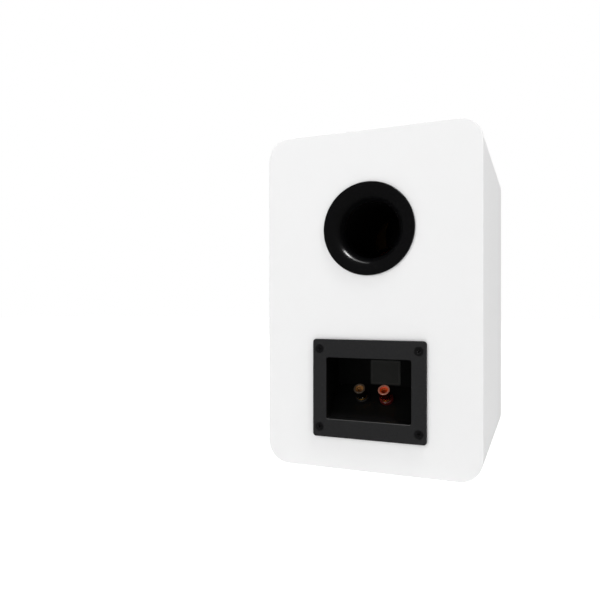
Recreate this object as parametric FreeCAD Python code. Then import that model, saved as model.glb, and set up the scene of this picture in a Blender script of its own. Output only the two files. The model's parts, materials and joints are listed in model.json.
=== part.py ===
"""A passive two-way bookshelf speaker with a rear port, as separate pieces. All sizes are in millimetres.

Frame: the origin is the middle of the base, +X is to the right seen from the front, +Y points to the rear
and +Z is up. The front baffle faces -Y and the rear panel, with its port and terminal cup, faces +Y.
"""

import FreeCAD, Part
import math
import os

V = FreeCAD.Vector

# ---------------------------------------------------------------- clearances
slip = 0.05          # radial gap of a sliding or turning fit
seat_gap = 0.3       # gap round a piece that drops into a rebate or a cut-out
glue = 0.05          # gap that a glue line or a paper label fills
screw_gap = 0.02     # radial gap between a wood screw and its pilot hole

# ---------------------------------------------------------------- cabinet
width = 172.0
height = 268.0
depth = 203.0
corner_radius = 18.0
wall = 12.0
baffle_wall = 15.0
rear_wall = 12.0
edge_round = 0.8
front_y = -depth / 2
rear_y = depth / 2
inner_front_y = front_y + baffle_wall
inner_rear_y = rear_y - rear_wall
proud = 2.5          # how far the trims stand off the front and rear faces

# ---------------------------------------------------------------- wadding
wadding_thickness = 8.0
wadding_margin = 14.0
wadding_front_gap = 45.0

# ---------------------------------------------------------------- port
port_z = 190.3
port_rim_radius = 36.7
port_rim_proud = 2.0
port_rim_flat = 2.0
port_rim_round = 1.0
port_throat = 22.5
port_hole = 30.0
port_body_depth = 4.0
port_socket_depth = 14.0
port_socket_length = 12.0
port_wall = 2.0
port_length = 112.0
port_end_flare = 8.0

# ---------------------------------------------------------------- terminal cup
cup_z = 64.3
cup_flange_width = 91.0
cup_flange_height = 78.0
cup_flange_corner = 2.5
cup_gasket = 0.5
cup_wall = 2.2
cup_opening_width = 68.0
cup_opening_height = 49.0
cup_opening_corner = 1.5
cup_depth = 28.0
cup_screw_pitch_x = 79.5
cup_screw_pitch_z = 62.5
label_width = 25.0
label_height = 20.0
label_thickness = 0.2
label_x = -6.6
label_above_knee = 0.8

# ---------------------------------------------------------------- binding posts
ramp_tilt = 42.0     # degrees that the posts point above the horizontal
post_spacing = 20.0
post_below_cup_centre = 9.7
post_depth = 19.2
shaft_radius = 3.0
shaft_flange_radius = 4.2
shaft_flange = 0.6
shaft_inner_length = 13.0
socket_radius = 2.05
socket_depth = 20.0
wire_hole_radius = 1.25
collar_radius = 5.5
collar_height = 3.0
collar_chamfer = 0.5
washer_radius = 4.5
washer_thickness = 0.8
cap_nut_radius = 4.0
cap_shell_radius = 4.75
cap_length = 9.4
cap_shell_start = 0.9
cap_end_thickness = 1.2
cap_end_hole = 2.4
cap_window = 3.3             # the opening in the grip's end, which shows the nut
cap_funnel = 0.9             # depth of the funnel round the socket in the nut's end
cap_travel = 5.6
shaft_end_below_cap = 2.4
grip_grooves = 20
grip_groove_radius = 0.4
bushing_radius = 5.0
bushing_height = 2.0
post_nut_flats = 8.0
post_nut_height = 2.6
tab_thickness = 0.8
tab_length = 14.0
tab_width = 4.8

# ---------------------------------------------------------------- screws
wood_screw_radius = 1.7
wood_screw_length = 15.0
wood_screw_head_radius = 3.6
wood_screw_head_height = 1.7
cross_slot_width = 0.9
cross_slot_length = 4.0
cross_slot_depth = 1.1

# ---------------------------------------------------------------- woofer
woofer_z = 86.0
woofer_seat = 5.0            # depth of the rebate in the baffle
woofer_gasket = 1.0
woofer_gasket_inner = 60.0
basket_radius = 71.0
basket_sheet = 1.2
basket_throat = 55.0
baffle_hole = 59.5
trim_radius = 73.0
trim_inner_radius = 59.0
trim_skin = 1.6
woofer_screw_circle = 66.0
woofer_screws = 6
surround_outer_land = 58.5
surround_roll_outer = 55.5
surround_roll_inner = 46.5
surround_inner_land = 43.5
rubber = 0.5
cone_thickness = 0.8
cone_neck_depth = 24.0
cone_bow = 2.6               # how far the cone's side bows outwards from a straight cone
dust_cap_radius = 18.0
dust_cap_height = 6.5
coil_radius = 12.5
former_thickness = 0.4
former_length = 28.0
winding_thickness = 0.7
winding_length = 14.0
spider_radius = 43.0
spider_waves = 5
spider_wave_height = 1.3
spider_thickness = 0.5
spider_depth = 32.0          # from the front face of the basket's flange to its spider ledge
basket_ledge_outer = 47.0
basket_ledge_inner = 39.5
basket_floor_depth = 39.0
basket_windows = 6
basket_window_width = 32.0
plate_radius = 38.0
plate_thickness = 6.0
gap_clearance = 0.4
pole_clearance = 0.3
magnet_radius = 40.0
magnet_inner_radius = 18.0
magnet_thickness = 15.0
pole_vent_radius = 5.0
strip_width = 18.0
strip_length = 12.0
strip_thickness = 1.6
lug_width = 4.0
lug_length = 7.0
lug_thickness = 0.8
lug_spacing = 9.0
lead_radius = 0.5
lead_cone_radius = 26.0

# ---------------------------------------------------------------- tweeter
tweeter_z = 207.0
tweeter_seat = 4.0
tweeter_gasket = 0.8
face_radius = 44.0
face_proud = 1.5
face_boss_radius = 33.5
face_boss_depth = 5.0
face_mouth_radius = 17.0
horn_radius = 30.0
horn_depth = 4.2
tweeter_hole = 34.0
tweeter_screw_circle = 38.6
tweeter_screws = 4
dome_radius = 12.9
dome_height = 6.0
dome_thickness = 0.4
tweeter_roll_radius = 1.5
tweeter_land = 19.0
tweeter_coil_radius = 12.75
tweeter_coil_thickness = 0.45
tweeter_coil_length = 6.0
tweeter_plate_radius = 31.0
tweeter_plate_thickness = 4.0
tweeter_magnet_radius = 32.0
tweeter_magnet_inner_radius = 17.0
tweeter_magnet_thickness = 10.0
tweeter_yoke_thickness = 4.0

# ---------------------------------------------------------------- crossover
board_width = 84.0
board_length = 76.0
board_thickness = 1.6
board_lift = 8.0
board_front_y = -30.0
board_screw_inset = 5.0
board_screw_radius = 1.5
board_screw_head_radius = 3.0
board_screw_head_height = 1.8
spacer_radius = 3.5
inductor_radius = 15.0
inductor_height = 18.0
inductor_spots = ((-24.0, 26.0), (24.0, -10.0))
bobbin_flange = 1.5
bobbin_core_radius = 6.0
bobbin_bore_radius = 3.5
winding_inset = 1.0
capacitor_radius = 7.5
capacitor_length = 28.0
capacitor_spots = ((2.0, 33.5), (2.0, 17.0), (-36.0, -1.0))
resistor_size = (22.0, 9.0, 9.0)
resistor_spots = ((-30.0, -29.0), (-30.0, -19.0))
landing_inset = 2.7          # how far a wire lands inside the board's edge

# ---------------------------------------------------------------- wiring
wire_radius = 1.2

# What follows from the sizes above.
cup_flange_y = rear_y + cup_gasket
cup_face_y = rear_y + proud
post_z = cup_z - post_below_cup_centre
post_rear_y = rear_y - post_depth
ramp_slope = math.tan(math.radians(ramp_tilt))
ramp_out = V(0, math.cos(math.radians(ramp_tilt)), math.sin(math.radians(ramp_tilt)))
knee_z = post_z + (cup_depth - post_depth) / ramp_slope
cap_start = collar_height + shaft_flange + washer_thickness
cap_end = cap_start + cap_length
shaft_end = cap_end - shaft_end_below_cap
flange_front = woofer_seat - woofer_gasket - basket_sheet
cone_edge = flange_front
former_outer = coil_radius + former_thickness
motor_depth = flange_front + basket_floor_depth + basket_sheet
ledge_depth = flange_front + spider_depth + basket_sheet
cone_neck = cone_edge + cone_neck_depth
winding_mid = motor_depth + plate_thickness / 2
face_back = tweeter_seat - tweeter_gasket
tweeter_coil_outer = tweeter_coil_radius + tweeter_coil_thickness
tweeter_roll_inner = dome_radius + glue
tweeter_roll_outer = tweeter_roll_inner + 2 * tweeter_roll_radius
board_z = wall + board_lift
board_top = board_z + board_thickness


# ---------------------------------------------------------------- helpers
def block(x0, x1, y0, y1, z0, z1):
    """A rectangular block between two corners."""
    return Part.makeBox(x1 - x0, y1 - y0, z1 - z0, V(x0, y0, z0))


def edges_along(solid, direction):
    """The straight edges of a solid that run along a direction."""
    straight = [e for e in solid.Edges if isinstance(e.Curve, Part.Line)]
    return [e for e in straight if e.Curve.Direction.cross(direction).Length < 1e-6]


def edges_at_y(solid, y):
    """The edges of a solid that lie in the plane at y."""
    return [e for e in solid.Edges if abs(e.BoundBox.YMin - y) < 1e-6 and abs(e.BoundBox.YMax - y) < 1e-6]


def rounded_slab(middle_z, slab_width, slab_height, radius, y0, y1):
    """A slab that faces along Y, with its four corners rounded."""
    half_x = slab_width / 2
    half_z = slab_height / 2
    solid = block(-half_x, half_x, y0, y1, middle_z - half_z, middle_z + half_z)
    return solid.makeFillet(radius, edges_along(solid, V(0, 1, 0)))


def seat(x, y, z, out):
    """A placement whose local Z axis points along out, and whose local X axis stays X."""
    return FreeCAD.Placement(V(x, y, z), FreeCAD.Rotation(V(0, 0, 1), out))


def placed(solid, place):
    """A copy of a solid moved from local axes to a placement."""
    moved = solid.copy()
    moved.Placement = place.multiply(solid.Placement)
    return moved


def outline(steps):
    """A closed wire from steps in (radius, height). A step is a point, or (through, end) for an arc."""
    here = V(steps[0][0], 0, steps[0][1])
    edges = []
    for step in list(steps[1:]) + [steps[0]]:
        if isinstance(step[0], tuple):
            through, end = [V(r, 0, h) for r, h in step]
            edges.append(Part.Arc(here, through, end).toShape())
        else:
            end = V(step[0], 0, step[1])
            if end.distanceToPoint(here) > 1e-6:
                edges.append(Part.makeLine(here, end))
        here = end
    return Part.Wire(edges)


def turned(place, *steps):
    """A solid of revolution about the local Z axis, from an outline in (radius, height)."""
    solid = Part.Face(outline(steps)).revolve(V(0, 0, 0), V(0, 0, 1), 360)
    if solid.Volume < 0:
        solid.reverse()
    return placed(solid, place)


def ring(place, inner, outer, low, high):
    """A plain round ring, or a disc where inner is 0."""
    return turned(place, (inner, low), (outer, low), (outer, high), (inner, high))


def rod(place, radius, low, high):
    """A round bar along the local Z axis."""
    return placed(Part.makeCylinder(radius, high - low, V(0, 0, low)), place)


def on_circle(count, radius, start_degrees=0.0):
    """Points evenly spaced on a circle, as (x, z) offsets."""
    angles = [math.radians(start_degrees + 360.0 * i / count) for i in range(count)]
    return [(radius * math.cos(a), radius * math.sin(a)) for a in angles]


def arc_point(centre_r, centre_h, radius, degrees):
    """A point on a circle in an outline."""
    a = math.radians(degrees)
    return (centre_r + radius * math.cos(a), centre_h + radius * math.sin(a))


def round_tube(points, radius):
    """A cord: straight runs joined by tangent arcs, each as large as its two runs allow."""
    path = [V(*p) for p in points]
    edges = []
    here = path[0]
    for before, corner, after in zip(path, path[1:], path[2:]):
        into = (corner - before).normalize()
        out = (after - corner).normalize()
        turn = into.getAngle(out)
        shorter = min((corner - before).Length, (after - corner).Length)
        back = 0.45 * shorter
        start = corner - into * back
        end = corner + out * back
        bend = back / math.tan(turn / 2)
        inward = (out - into).normalize()
        to_centre = bend / math.cos(turn / 2)
        middle = corner + inward * (to_centre - bend)
        edges.append(Part.makeLine(here, start))
        edges.append(Part.Arc(start, middle, end).toShape())
        here = end
    edges.append(Part.makeLine(here, path[-1]))
    wire = Part.Wire(edges)
    section = Part.Wire(Part.makeCircle(radius, path[0], path[1] - path[0]))
    tube = wire.makePipeShell([section], True, True)
    expected = math.pi * radius ** 2 * wire.Length
    print("cord: length %.1f, volume over section times length %.4f" % (wire.Length, tube.Volume / expected))
    return tube


def group(solids):
    """Several separate solids as one node."""
    return Part.makeCompound(solids)


# ---------------------------------------------------------------- cabinet
def cabinet_blank(y0, y1):
    """The cabinet's outer shape between two depths, with nothing taken out."""
    return rounded_slab(height / 2, width, height, corner_radius, y0, y1)


def cabinet_panels():
    """The four side walls, and the solid quarter-round blocks that join them at the corners."""
    blank = cabinet_blank(inner_front_y, inner_rear_y)
    flat_x = width / 2 - corner_radius
    span_y = (inner_front_y, inner_rear_y)
    flat_top = height - corner_radius
    panels = {
        "top_panel": block(-flat_x, flat_x, *span_y, height - wall, height),
        "bottom_panel": block(-flat_x, flat_x, *span_y, 0, wall),
        "left_panel": block(-width / 2, wall - width / 2, *span_y, corner_radius, flat_top),
        "right_panel": block(width / 2 - wall, width / 2, *span_y, corner_radius, flat_top),
    }
    corners = []
    for x in (-width / 2, flat_x):
        for z in (0, flat_top):
            cell = block(x, x + corner_radius, *span_y, z, z + corner_radius)
            corners.append(blank.common(cell).Solids[0])
    panels["corner_blocks"] = group(corners)
    return panels


def front_baffle():
    """The front board, with a rebate and a hole for each driver."""
    board = cabinet_blank(front_y, inner_front_y)
    board = board.makeFillet(edge_round, edges_at_y(board, front_y))
    for z, rim, seat_depth, hole in (
        (woofer_z, trim_radius, woofer_seat, baffle_hole),
        (tweeter_z, face_radius, tweeter_seat, tweeter_hole),
    ):
        place = seat(0, front_y, z, V(0, 1, 0))
        board = board.cut(rod(place, rim + seat_gap, -1, seat_depth))
        board = board.cut(rod(place, hole, -1, baffle_wall + 1))
    for x, z in woofer_screw_spots() + tweeter_screw_spots():
        pilot = rod(seat(x, front_y, z, V(0, 1, 0)), wood_screw_radius + screw_gap, 0, baffle_wall + 1)
        board = board.cut(pilot)
    return board


def rear_panel():
    """The rear board, with holes for the port, the terminal cup and its screws."""
    board = cabinet_blank(inner_rear_y, rear_y)
    board = board.makeFillet(edge_round, edges_at_y(board, rear_y))
    board = board.cut(rod(seat(0, rear_y, port_z, V(0, -1, 0)), port_hole, -1, rear_wall + 1))
    hole_x = cup_opening_width / 2 + cup_wall + seat_gap
    hole_z = cup_opening_height / 2 + cup_wall + seat_gap
    board = board.cut(block(-hole_x, hole_x, inner_rear_y - 1, rear_y + 1, cup_z - hole_z, cup_z + hole_z))
    for x, z in cup_screw_spots():
        pilot = rod(seat(x, rear_y, z, V(0, -1, 0)), wood_screw_radius + screw_gap, -1, rear_wall + 1)
        board = board.cut(pilot)
    return board


def wadding_pads():
    """Felt-like wadding on the inside of the two sides, the top and the bottom."""
    y0 = inner_front_y + wadding_front_gap
    y1 = inner_rear_y - wadding_margin
    x_in = width / 2 - wall
    z0 = corner_radius + wadding_margin
    z1 = height - corner_radius - wadding_margin
    flat_x = width / 2 - corner_radius - wadding_margin
    return group([
        block(-x_in, wadding_thickness - x_in, y0, y1, z0, z1),
        block(x_in - wadding_thickness, x_in, y0, y1, z0, z1),
        block(-flat_x, flat_x, y0, y1, height - wall - wadding_thickness, height - wall),
    ])


# ---------------------------------------------------------------- screws
def wood_screw(x, y, z, into):
    """A countersunk cross-head screw whose head is flush with y, driven towards into."""
    place = seat(x, y, z, into)
    screw = turned(
        place,
        (0, 0), (wood_screw_head_radius, 0), (wood_screw_radius, wood_screw_head_height),
        (wood_screw_radius, wood_screw_length - wood_screw_radius * 2), (0, wood_screw_length),
    )
    for across, along in ((cross_slot_width, cross_slot_length), (cross_slot_length, cross_slot_width)):
        bar = Part.makeBox(across, along, cross_slot_depth * 2, V(-across / 2, -along / 2, -cross_slot_depth))
        screw = screw.cut(placed(bar, place))
    return screw


def countersink(x, y, z, into):
    """What a countersunk screw's hole takes out of the piece that it holds."""
    grown = wood_screw_radius + seat_gap
    rim = wood_screw_head_radius + slip
    return turned(
        seat(x, y, z, into),
        (0, -1), (rim, -1), (rim, 0), (grown, wood_screw_head_height - seat_gap + slip), (grown, 10), (0, 10),
    )


def cup_screw_spots():
    """Where the terminal cup's four screws sit, as (x, z)."""
    half_x = cup_screw_pitch_x / 2
    half_z = cup_screw_pitch_z / 2
    return [(sx * half_x, cup_z + sz * half_z) for sx in (-1, 1) for sz in (-1, 1)]


def woofer_screw_spots():
    """Where the woofer's screws sit, as (x, z)."""
    return [(x, woofer_z + z) for x, z in on_circle(woofer_screws, woofer_screw_circle, 30)]


def tweeter_screw_spots():
    """Where the tweeter's screws sit, as (x, z)."""
    return [(x, tweeter_z + z) for x, z in on_circle(tweeter_screws, tweeter_screw_circle, 45)]


# ---------------------------------------------------------------- port
def port_flare():
    """The trumpet mouth: a rim on the rear panel, a round flare and a socket for the tube."""
    flare = port_rim_radius - port_rim_flat - port_throat
    centre_r = port_throat + flare
    centre_h = port_rim_proud - flare
    socket_inner = port_throat + port_wall + slip
    socket_outer = socket_inner + port_wall
    body = port_hole - seat_gap
    socket_end = -port_socket_depth - port_socket_length
    shoulder = port_rim_radius - port_rim_round
    return turned(
        seat(0, rear_y, port_z, V(0, 1, 0)),
        (port_throat, centre_h),
        (arc_point(centre_r, centre_h, flare, 135), (centre_r, port_rim_proud)),
        (shoulder, port_rim_proud),
        (arc_point(shoulder, port_rim_proud - port_rim_round, port_rim_round, 45),
         (port_rim_radius, port_rim_proud - port_rim_round)),
        (port_rim_radius, 0), (body, 0), (body, -port_body_depth),
        (socket_outer, -port_body_depth - (body - socket_outer) * 1.5),
        (socket_outer, socket_end), (socket_inner, socket_end),
        (socket_inner, -port_socket_depth), (port_throat, -port_socket_depth),
    )


def port_tube():
    """The straight duct, which slips into the flare's socket and opens out at its inner end."""
    outer = port_throat + port_wall
    flare_start = -port_length + port_end_flare
    centre_r = port_throat + port_end_flare
    outer_flare = port_end_flare - port_wall
    tip = (centre_r, -port_length + port_wall)
    return turned(
        seat(0, rear_y, port_z, V(0, 1, 0)),
        (port_throat, -port_socket_depth - glue), (outer, -port_socket_depth - glue),
        (outer, flare_start),
        (arc_point(centre_r, flare_start, outer_flare, 225), tip),
        (centre_r, -port_length),
        (arc_point(centre_r, flare_start, port_end_flare, 225), (port_throat, flare_start)),
    )


# ---------------------------------------------------------------- terminal cup
def pocket_side():
    """The pocket's side outline in the YZ plane: mouth, back wall, and the ramp that holds the posts."""
    top = cup_z + cup_opening_height / 2
    bottom = cup_z - cup_opening_height / 2
    back_y = rear_y - cup_depth
    toe_y = rear_y - post_depth + (post_z - bottom) * ramp_slope
    mouth_y = cup_face_y + 5
    corners = [(mouth_y, top), (back_y, top), (back_y, knee_z), (toe_y, bottom), (mouth_y, bottom), (mouth_y, top)]
    return Part.makePolygon([V(0, y, z) for y, z in corners])


def terminal_cup():
    """The moulded cup: a flange on the rear panel and a pocket whose lower wall slopes back."""
    side = pocket_side()
    half = cup_opening_width / 2
    pocket = placed(Part.Face(side).extrude(V(2 * half, 0, 0)), seat(-half, 0, 0, V(0, 0, 1)))
    pocket = pocket.makeFillet(cup_opening_corner, edges_along(pocket, V(0, 1, 0)))
    shell_side = Part.Face(side.makeOffset2D(cup_wall, 2))
    shell = shell_side.extrude(V(2 * (half + cup_wall), 0, 0))
    shell = placed(shell, seat(-half - cup_wall, 0, 0, V(0, 0, 1)))
    shell = shell.common(block(-width, width, 0, cup_flange_y, 0, height))
    flange = rounded_slab(cup_z, cup_flange_width, cup_flange_height, cup_flange_corner, cup_flange_y, cup_face_y)
    flange = flange.makeFillet(edge_round, edges_at_y(flange, cup_face_y))
    cup = flange.fuse(shell).removeSplitter().cut(pocket)
    mouth = [e for e in edges_at_y(cup, cup_face_y) if e.BoundBox.XMax < half + 1 and e.BoundBox.XMin > -half - 1]
    cup = cup.makeFillet(edge_round / 2, mouth)
    for x, z in cup_screw_spots():
        cup = cup.cut(countersink(x, cup_face_y, z, V(0, -1, 0)))
    for x in post_spots():
        cup = cup.cut(rod(post_place(x), shaft_radius + slip, -3 * cup_wall, cup_wall))
    return cup


def terminal_gasket():
    """The thin foam frame that seals the cup's flange to the rear panel."""
    frame = rounded_slab(cup_z, cup_flange_width - 1, cup_flange_height - 1, cup_flange_corner, rear_y, cup_flange_y)
    half_x = cup_opening_width / 2 + cup_wall + seat_gap
    half_z = cup_opening_height / 2 + cup_wall + seat_gap
    frame = frame.cut(block(-half_x, half_x, rear_y - 1, cup_flange_y + 1, cup_z - half_z, cup_z + half_z))
    for x, z in cup_screw_spots():
        hole = rod(seat(x, rear_y, z, V(0, 1, 0)), wood_screw_radius + seat_gap, -1, cup_gasket + 1)
        frame = frame.cut(hole)
    return frame


def rating_label():
    """A blank sticker on the pocket's back wall."""
    back_y = rear_y - cup_depth
    bottom = knee_z + label_above_knee
    left = label_x - label_width / 2
    slab = block(left, left + label_width, back_y, back_y + label_thickness, bottom, bottom + label_height)
    return slab.makeFillet(1.0, edges_along(slab, V(0, 1, 0)))


# ---------------------------------------------------------------- binding posts
def post_spots():
    """The X places of the positive and the negative post."""
    return (-post_spacing / 2, post_spacing / 2)


def post_place(x):
    """The frame of one post: its local Z axis points out of the ramp, which is at height 0."""
    return seat(x, post_rear_y, post_z, ramp_out)


def post_shaft(x):
    """A hollow threaded stud with a shoulder above the collar and a cross hole for bare wire."""
    place = post_place(x)
    shaft = turned(
        place,
        (0, -shaft_inner_length), (shaft_radius, -shaft_inner_length), (shaft_radius, collar_height),
        (shaft_flange_radius, collar_height), (shaft_flange_radius, collar_height + shaft_flange),
        (shaft_radius, collar_height + shaft_flange), (shaft_radius, shaft_end),
        (socket_radius, shaft_end), (socket_radius, shaft_end - socket_depth), (0, shaft_end - socket_depth),
    )
    wire_z = collar_height + shaft_flange + washer_thickness + wire_hole_radius + 0.4
    hole = Part.makeCylinder(wire_hole_radius, 4 * shaft_radius, V(-2 * shaft_radius, 0, wire_z), V(1, 0, 0))
    return shaft.cut(placed(hole, place))


def post_collar(x):
    """The coloured base ring between the ramp and the shaft's shoulder."""
    inner = shaft_radius + slip
    return turned(
        post_place(x),
        (inner, 0), (collar_radius, 0), (collar_radius, collar_height - collar_chamfer),
        (collar_radius - collar_chamfer, collar_height), (inner, collar_height),
    )


def clamp_washer(x):
    """The washer that rises and falls with the cap and presses on the wire."""
    bottom = collar_height + shaft_flange
    return ring(post_place(x), shaft_radius + slip, washer_radius, bottom, bottom + washer_thickness)


def cap_nut(x):
    """The gold inner nut of the cap, with a funnel in its end that leads a banana plug into the socket."""
    inner = shaft_radius + slip
    lid = cap_end - cap_end_thickness - glue
    nose = cap_window - glue
    tip = cap_end - collar_chamfer
    step = shaft_end + seat_gap
    rim = cap_start + cap_shell_start - glue
    return turned(
        post_place(x),
        (inner, cap_start), (washer_radius, cap_start), (washer_radius, rim),
        (cap_nut_radius, rim), (cap_nut_radius, lid), (nose, lid), (nose, tip), (cap_end_hole, tip - cap_funnel),
        (cap_end_hole, step), (inner, step),
    )


def cap_shell(x):
    """The clear coloured grip over the nut, with finger grooves and a window in its end."""
    place = post_place(x)
    start = cap_start + cap_shell_start
    inner = cap_nut_radius + slip
    lid = cap_end - cap_end_thickness
    shell = turned(
        place,
        (inner, start), (cap_shell_radius, start), (cap_shell_radius, cap_end - collar_chamfer),
        (cap_shell_radius - collar_chamfer, cap_end), (cap_window, cap_end), (cap_window, lid), (inner, lid),
    )
    for x_off, y_off in on_circle(grip_grooves, cap_shell_radius + grip_groove_radius / 2):
        groove = Part.makeCylinder(grip_groove_radius, cap_length, V(x_off, y_off, start + 1))
        shell = shell.cut(placed(groove, place))
    return shell


def post_inner_hardware():
    """What holds both posts from inside: insulating bushings, two nuts each and a solder tab between them."""
    bushings, nuts, tabs = [], [], []
    hex_radius = post_nut_flats / math.sqrt(3)
    for x in post_spots():
        place = post_place(x)
        bushing_low = -cup_wall - bushing_height
        bushings.append(ring(place, shaft_radius + slip, bushing_radius, bushing_low, -cup_wall))
        first = bushing_low - post_nut_height
        tab_low = first - tab_thickness
        second = tab_low - post_nut_height
        for low in (first, second):
            corners = [V(cx, cy, low) for cx, cy in on_circle(6, hex_radius)]
            prism = Part.Face(Part.makePolygon(corners + corners[:1])).extrude(V(0, 0, post_nut_height))
            hexagon = placed(prism, place)
            nuts.append(hexagon.cut(rod(place, shaft_radius + slip, low - 1, low + post_nut_height + 1)))
        blade = Part.makeBox(tab_width, tab_length, tab_thickness, V(-tab_width / 2, 0, tab_low))
        tab = rod(place, post_nut_flats / 2, tab_low, first).fuse(placed(blade, place)).removeSplitter()
        tabs.append(tab.cut(rod(place, shaft_radius + slip, tab_low - 1, first + 1)))
    return {"post_bushings": group(bushings), "post_nuts": group(nuts), "post_solder_tabs": group(tabs)}


# ---------------------------------------------------------------- woofer
def woofer_place():
    """The woofer's frame: local Z runs from the baffle's front face into the cabinet."""
    return seat(0, front_y, woofer_z, V(0, 1, 0))


def woofer_basket():
    """The pressed steel basket: flange, windowed wall, spider ledge and floor."""
    back = flange_front + basket_sheet
    ledge = ledge_depth - basket_sheet
    floor = motor_depth - basket_sheet
    inner = magnet_inner_radius + 2
    basket = turned(
        woofer_place(),
        (basket_throat, flange_front), (basket_radius, flange_front), (basket_radius, back),
        (basket_throat + basket_sheet, back), (basket_ledge_outer + basket_sheet, ledge_depth),
        (basket_ledge_inner + basket_sheet, ledge_depth),
        (basket_ledge_inner + basket_sheet - 2, motor_depth), (inner, motor_depth), (inner, floor),
        (basket_ledge_inner - 2, floor), (basket_ledge_inner, ledge), (basket_ledge_outer, ledge),
        (basket_throat, back),
    )
    for x, z in woofer_screw_spots():
        hole = rod(seat(x, front_y, z, V(0, 1, 0)), wood_screw_radius + seat_gap, 0, woofer_seat)
        basket = basket.cut(hole)
    half = basket_window_width / 2
    opening = Part.makeBox(basket_radius, basket_window_width, ledge - back - 8, V(30, -half, back + 4))
    opening = opening.makeFillet(4, edges_along(opening, V(1, 0, 0)))
    for i in range(basket_windows):
        turn = FreeCAD.Placement(V(0, 0, 0), FreeCAD.Rotation(V(0, 0, 1), 360.0 * i / basket_windows))
        basket = basket.cut(placed(placed(opening, turn), woofer_place()))
    return basket


def woofer_gasket_ring():
    """The foam ring between the basket's flange and the baffle's rebate."""
    sealing = ring(woofer_place(), woofer_gasket_inner, basket_radius, woofer_seat - woofer_gasket, woofer_seat)
    for x, z in woofer_screw_spots():
        hole = rod(seat(x, front_y, z, V(0, 1, 0)), wood_screw_radius + seat_gap, 0, woofer_seat + 1)
        sealing = sealing.cut(hole)
    return sealing


def woofer_trim_ring():
    """The snap-on ring that covers the flange and its screws: domed outside, hollow underneath."""
    crown = (trim_radius + trim_inner_radius) / 2
    hollow_out = trim_radius - trim_skin
    hollow_in = trim_inner_radius + trim_skin
    roof = trim_skin - proud
    return turned(
        woofer_place(),
        (trim_inner_radius, flange_front), (trim_inner_radius, -0.2),
        ((crown, -proud), (trim_radius, -0.2)),
        (trim_radius, woofer_seat), (basket_radius + slip, woofer_seat), (basket_radius + slip, flange_front),
        (hollow_out, flange_front), (hollow_out, roof), (hollow_in, roof), (hollow_in, flange_front),
    )


def woofer_screw_set():
    """The woofer's screws, whose heads sit proud on the flange under the trim ring."""
    head_y = front_y + flange_front - wood_screw_head_height - slip
    return group([wood_screw(x, head_y, z, V(0, 1, 0)) for x, z in woofer_screw_spots()])


def woofer_surround():
    """The rubber half-roll between the basket's flange and the cone's rim."""
    low = flange_front
    high = flange_front - rubber
    middle = (surround_roll_outer + surround_roll_inner) / 2
    big = (surround_roll_outer - surround_roll_inner) / 2
    small = big - rubber
    return turned(
        woofer_place(),
        (surround_inner_land, low - glue), (surround_roll_inner + rubber, low - glue),
        ((middle, low - glue - small), (surround_roll_outer - rubber, low - glue)),
        (surround_outer_land, low - glue), (surround_outer_land, high), (surround_roll_outer, high),
        ((middle, high - small), (surround_roll_inner, high)), (surround_inner_land, high),
    )


def cone_curve(lift):
    """Three points of the cone's bowed side, moved back by lift: outer end, middle and neck."""
    outer = (surround_inner_land, cone_edge + lift)
    neck = (former_outer + slip, cone_neck - cone_thickness + lift)
    middle = ((outer[0] + neck[0]) / 2 - cone_bow, (outer[1] + neck[1]) / 2 - cone_bow)
    return outer, middle, neck


def woofer_cone():
    """The cone: a flat rim that the surround is glued on, and a bowed side down to the coil former."""
    outer, middle, neck = cone_curve(0)
    back_outer, back_middle, back_neck = cone_curve(cone_thickness)
    return turned(
        woofer_place(),
        outer, (surround_roll_inner, outer[1]), (surround_roll_inner, back_outer[1]), back_outer,
        (back_middle, back_neck), neck, (middle, outer),
    )


def cone_depth_at(radius, lift):
    """How deep the cone's front surface lies at a radius, or its back surface with lift at its thickness."""
    outer, middle, neck = [V(r, h, 0) for r, h in cone_curve(lift)]
    curve = Part.Arc(outer, middle, neck).toShape()
    line = Part.makeLine(V(radius, -50, 0), V(radius, 100, 0))
    return line.distToShape(curve)[1][0][0].y


def woofer_dust_cap():
    """The domed cap glued to the front of the cone."""
    base = cone_depth_at(dust_cap_radius, 0) - glue
    skin = rubber
    return turned(
        woofer_place(),
        (0, base - dust_cap_height), (0, base - dust_cap_height + skin),
        (arc_between(0, base - dust_cap_height + skin, dust_cap_radius - skin, base),
         (dust_cap_radius - skin, base)),
        (dust_cap_radius, base),
        (arc_between(0, base - dust_cap_height, dust_cap_radius, base), (0, base - dust_cap_height)),
    )


def arc_between(r0, h0, r1, h1):
    """The middle point of a dome's arc whose crown is at r0, h0 and whose edge is at r1, h1."""
    rise = h1 - h0
    radius = (r1 ** 2 + rise ** 2) / (2 * rise)
    half = math.asin(r1 / radius) / 2
    return (r0 + radius * math.sin(half), h0 + radius * (1 - math.cos(half)))


def woofer_coil():
    """The voice coil: a thin former, and the winding at its inner end."""
    start = cone_neck - 2
    former = ring(woofer_place(), coil_radius, former_outer, start, start + former_length)
    winding = ring(
        woofer_place(), former_outer + screw_gap, former_outer + winding_thickness,
        winding_mid - winding_length / 2, winding_mid + winding_length / 2,
    )
    return {"voice_coil_former": former, "voice_coil_winding": winding}


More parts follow.
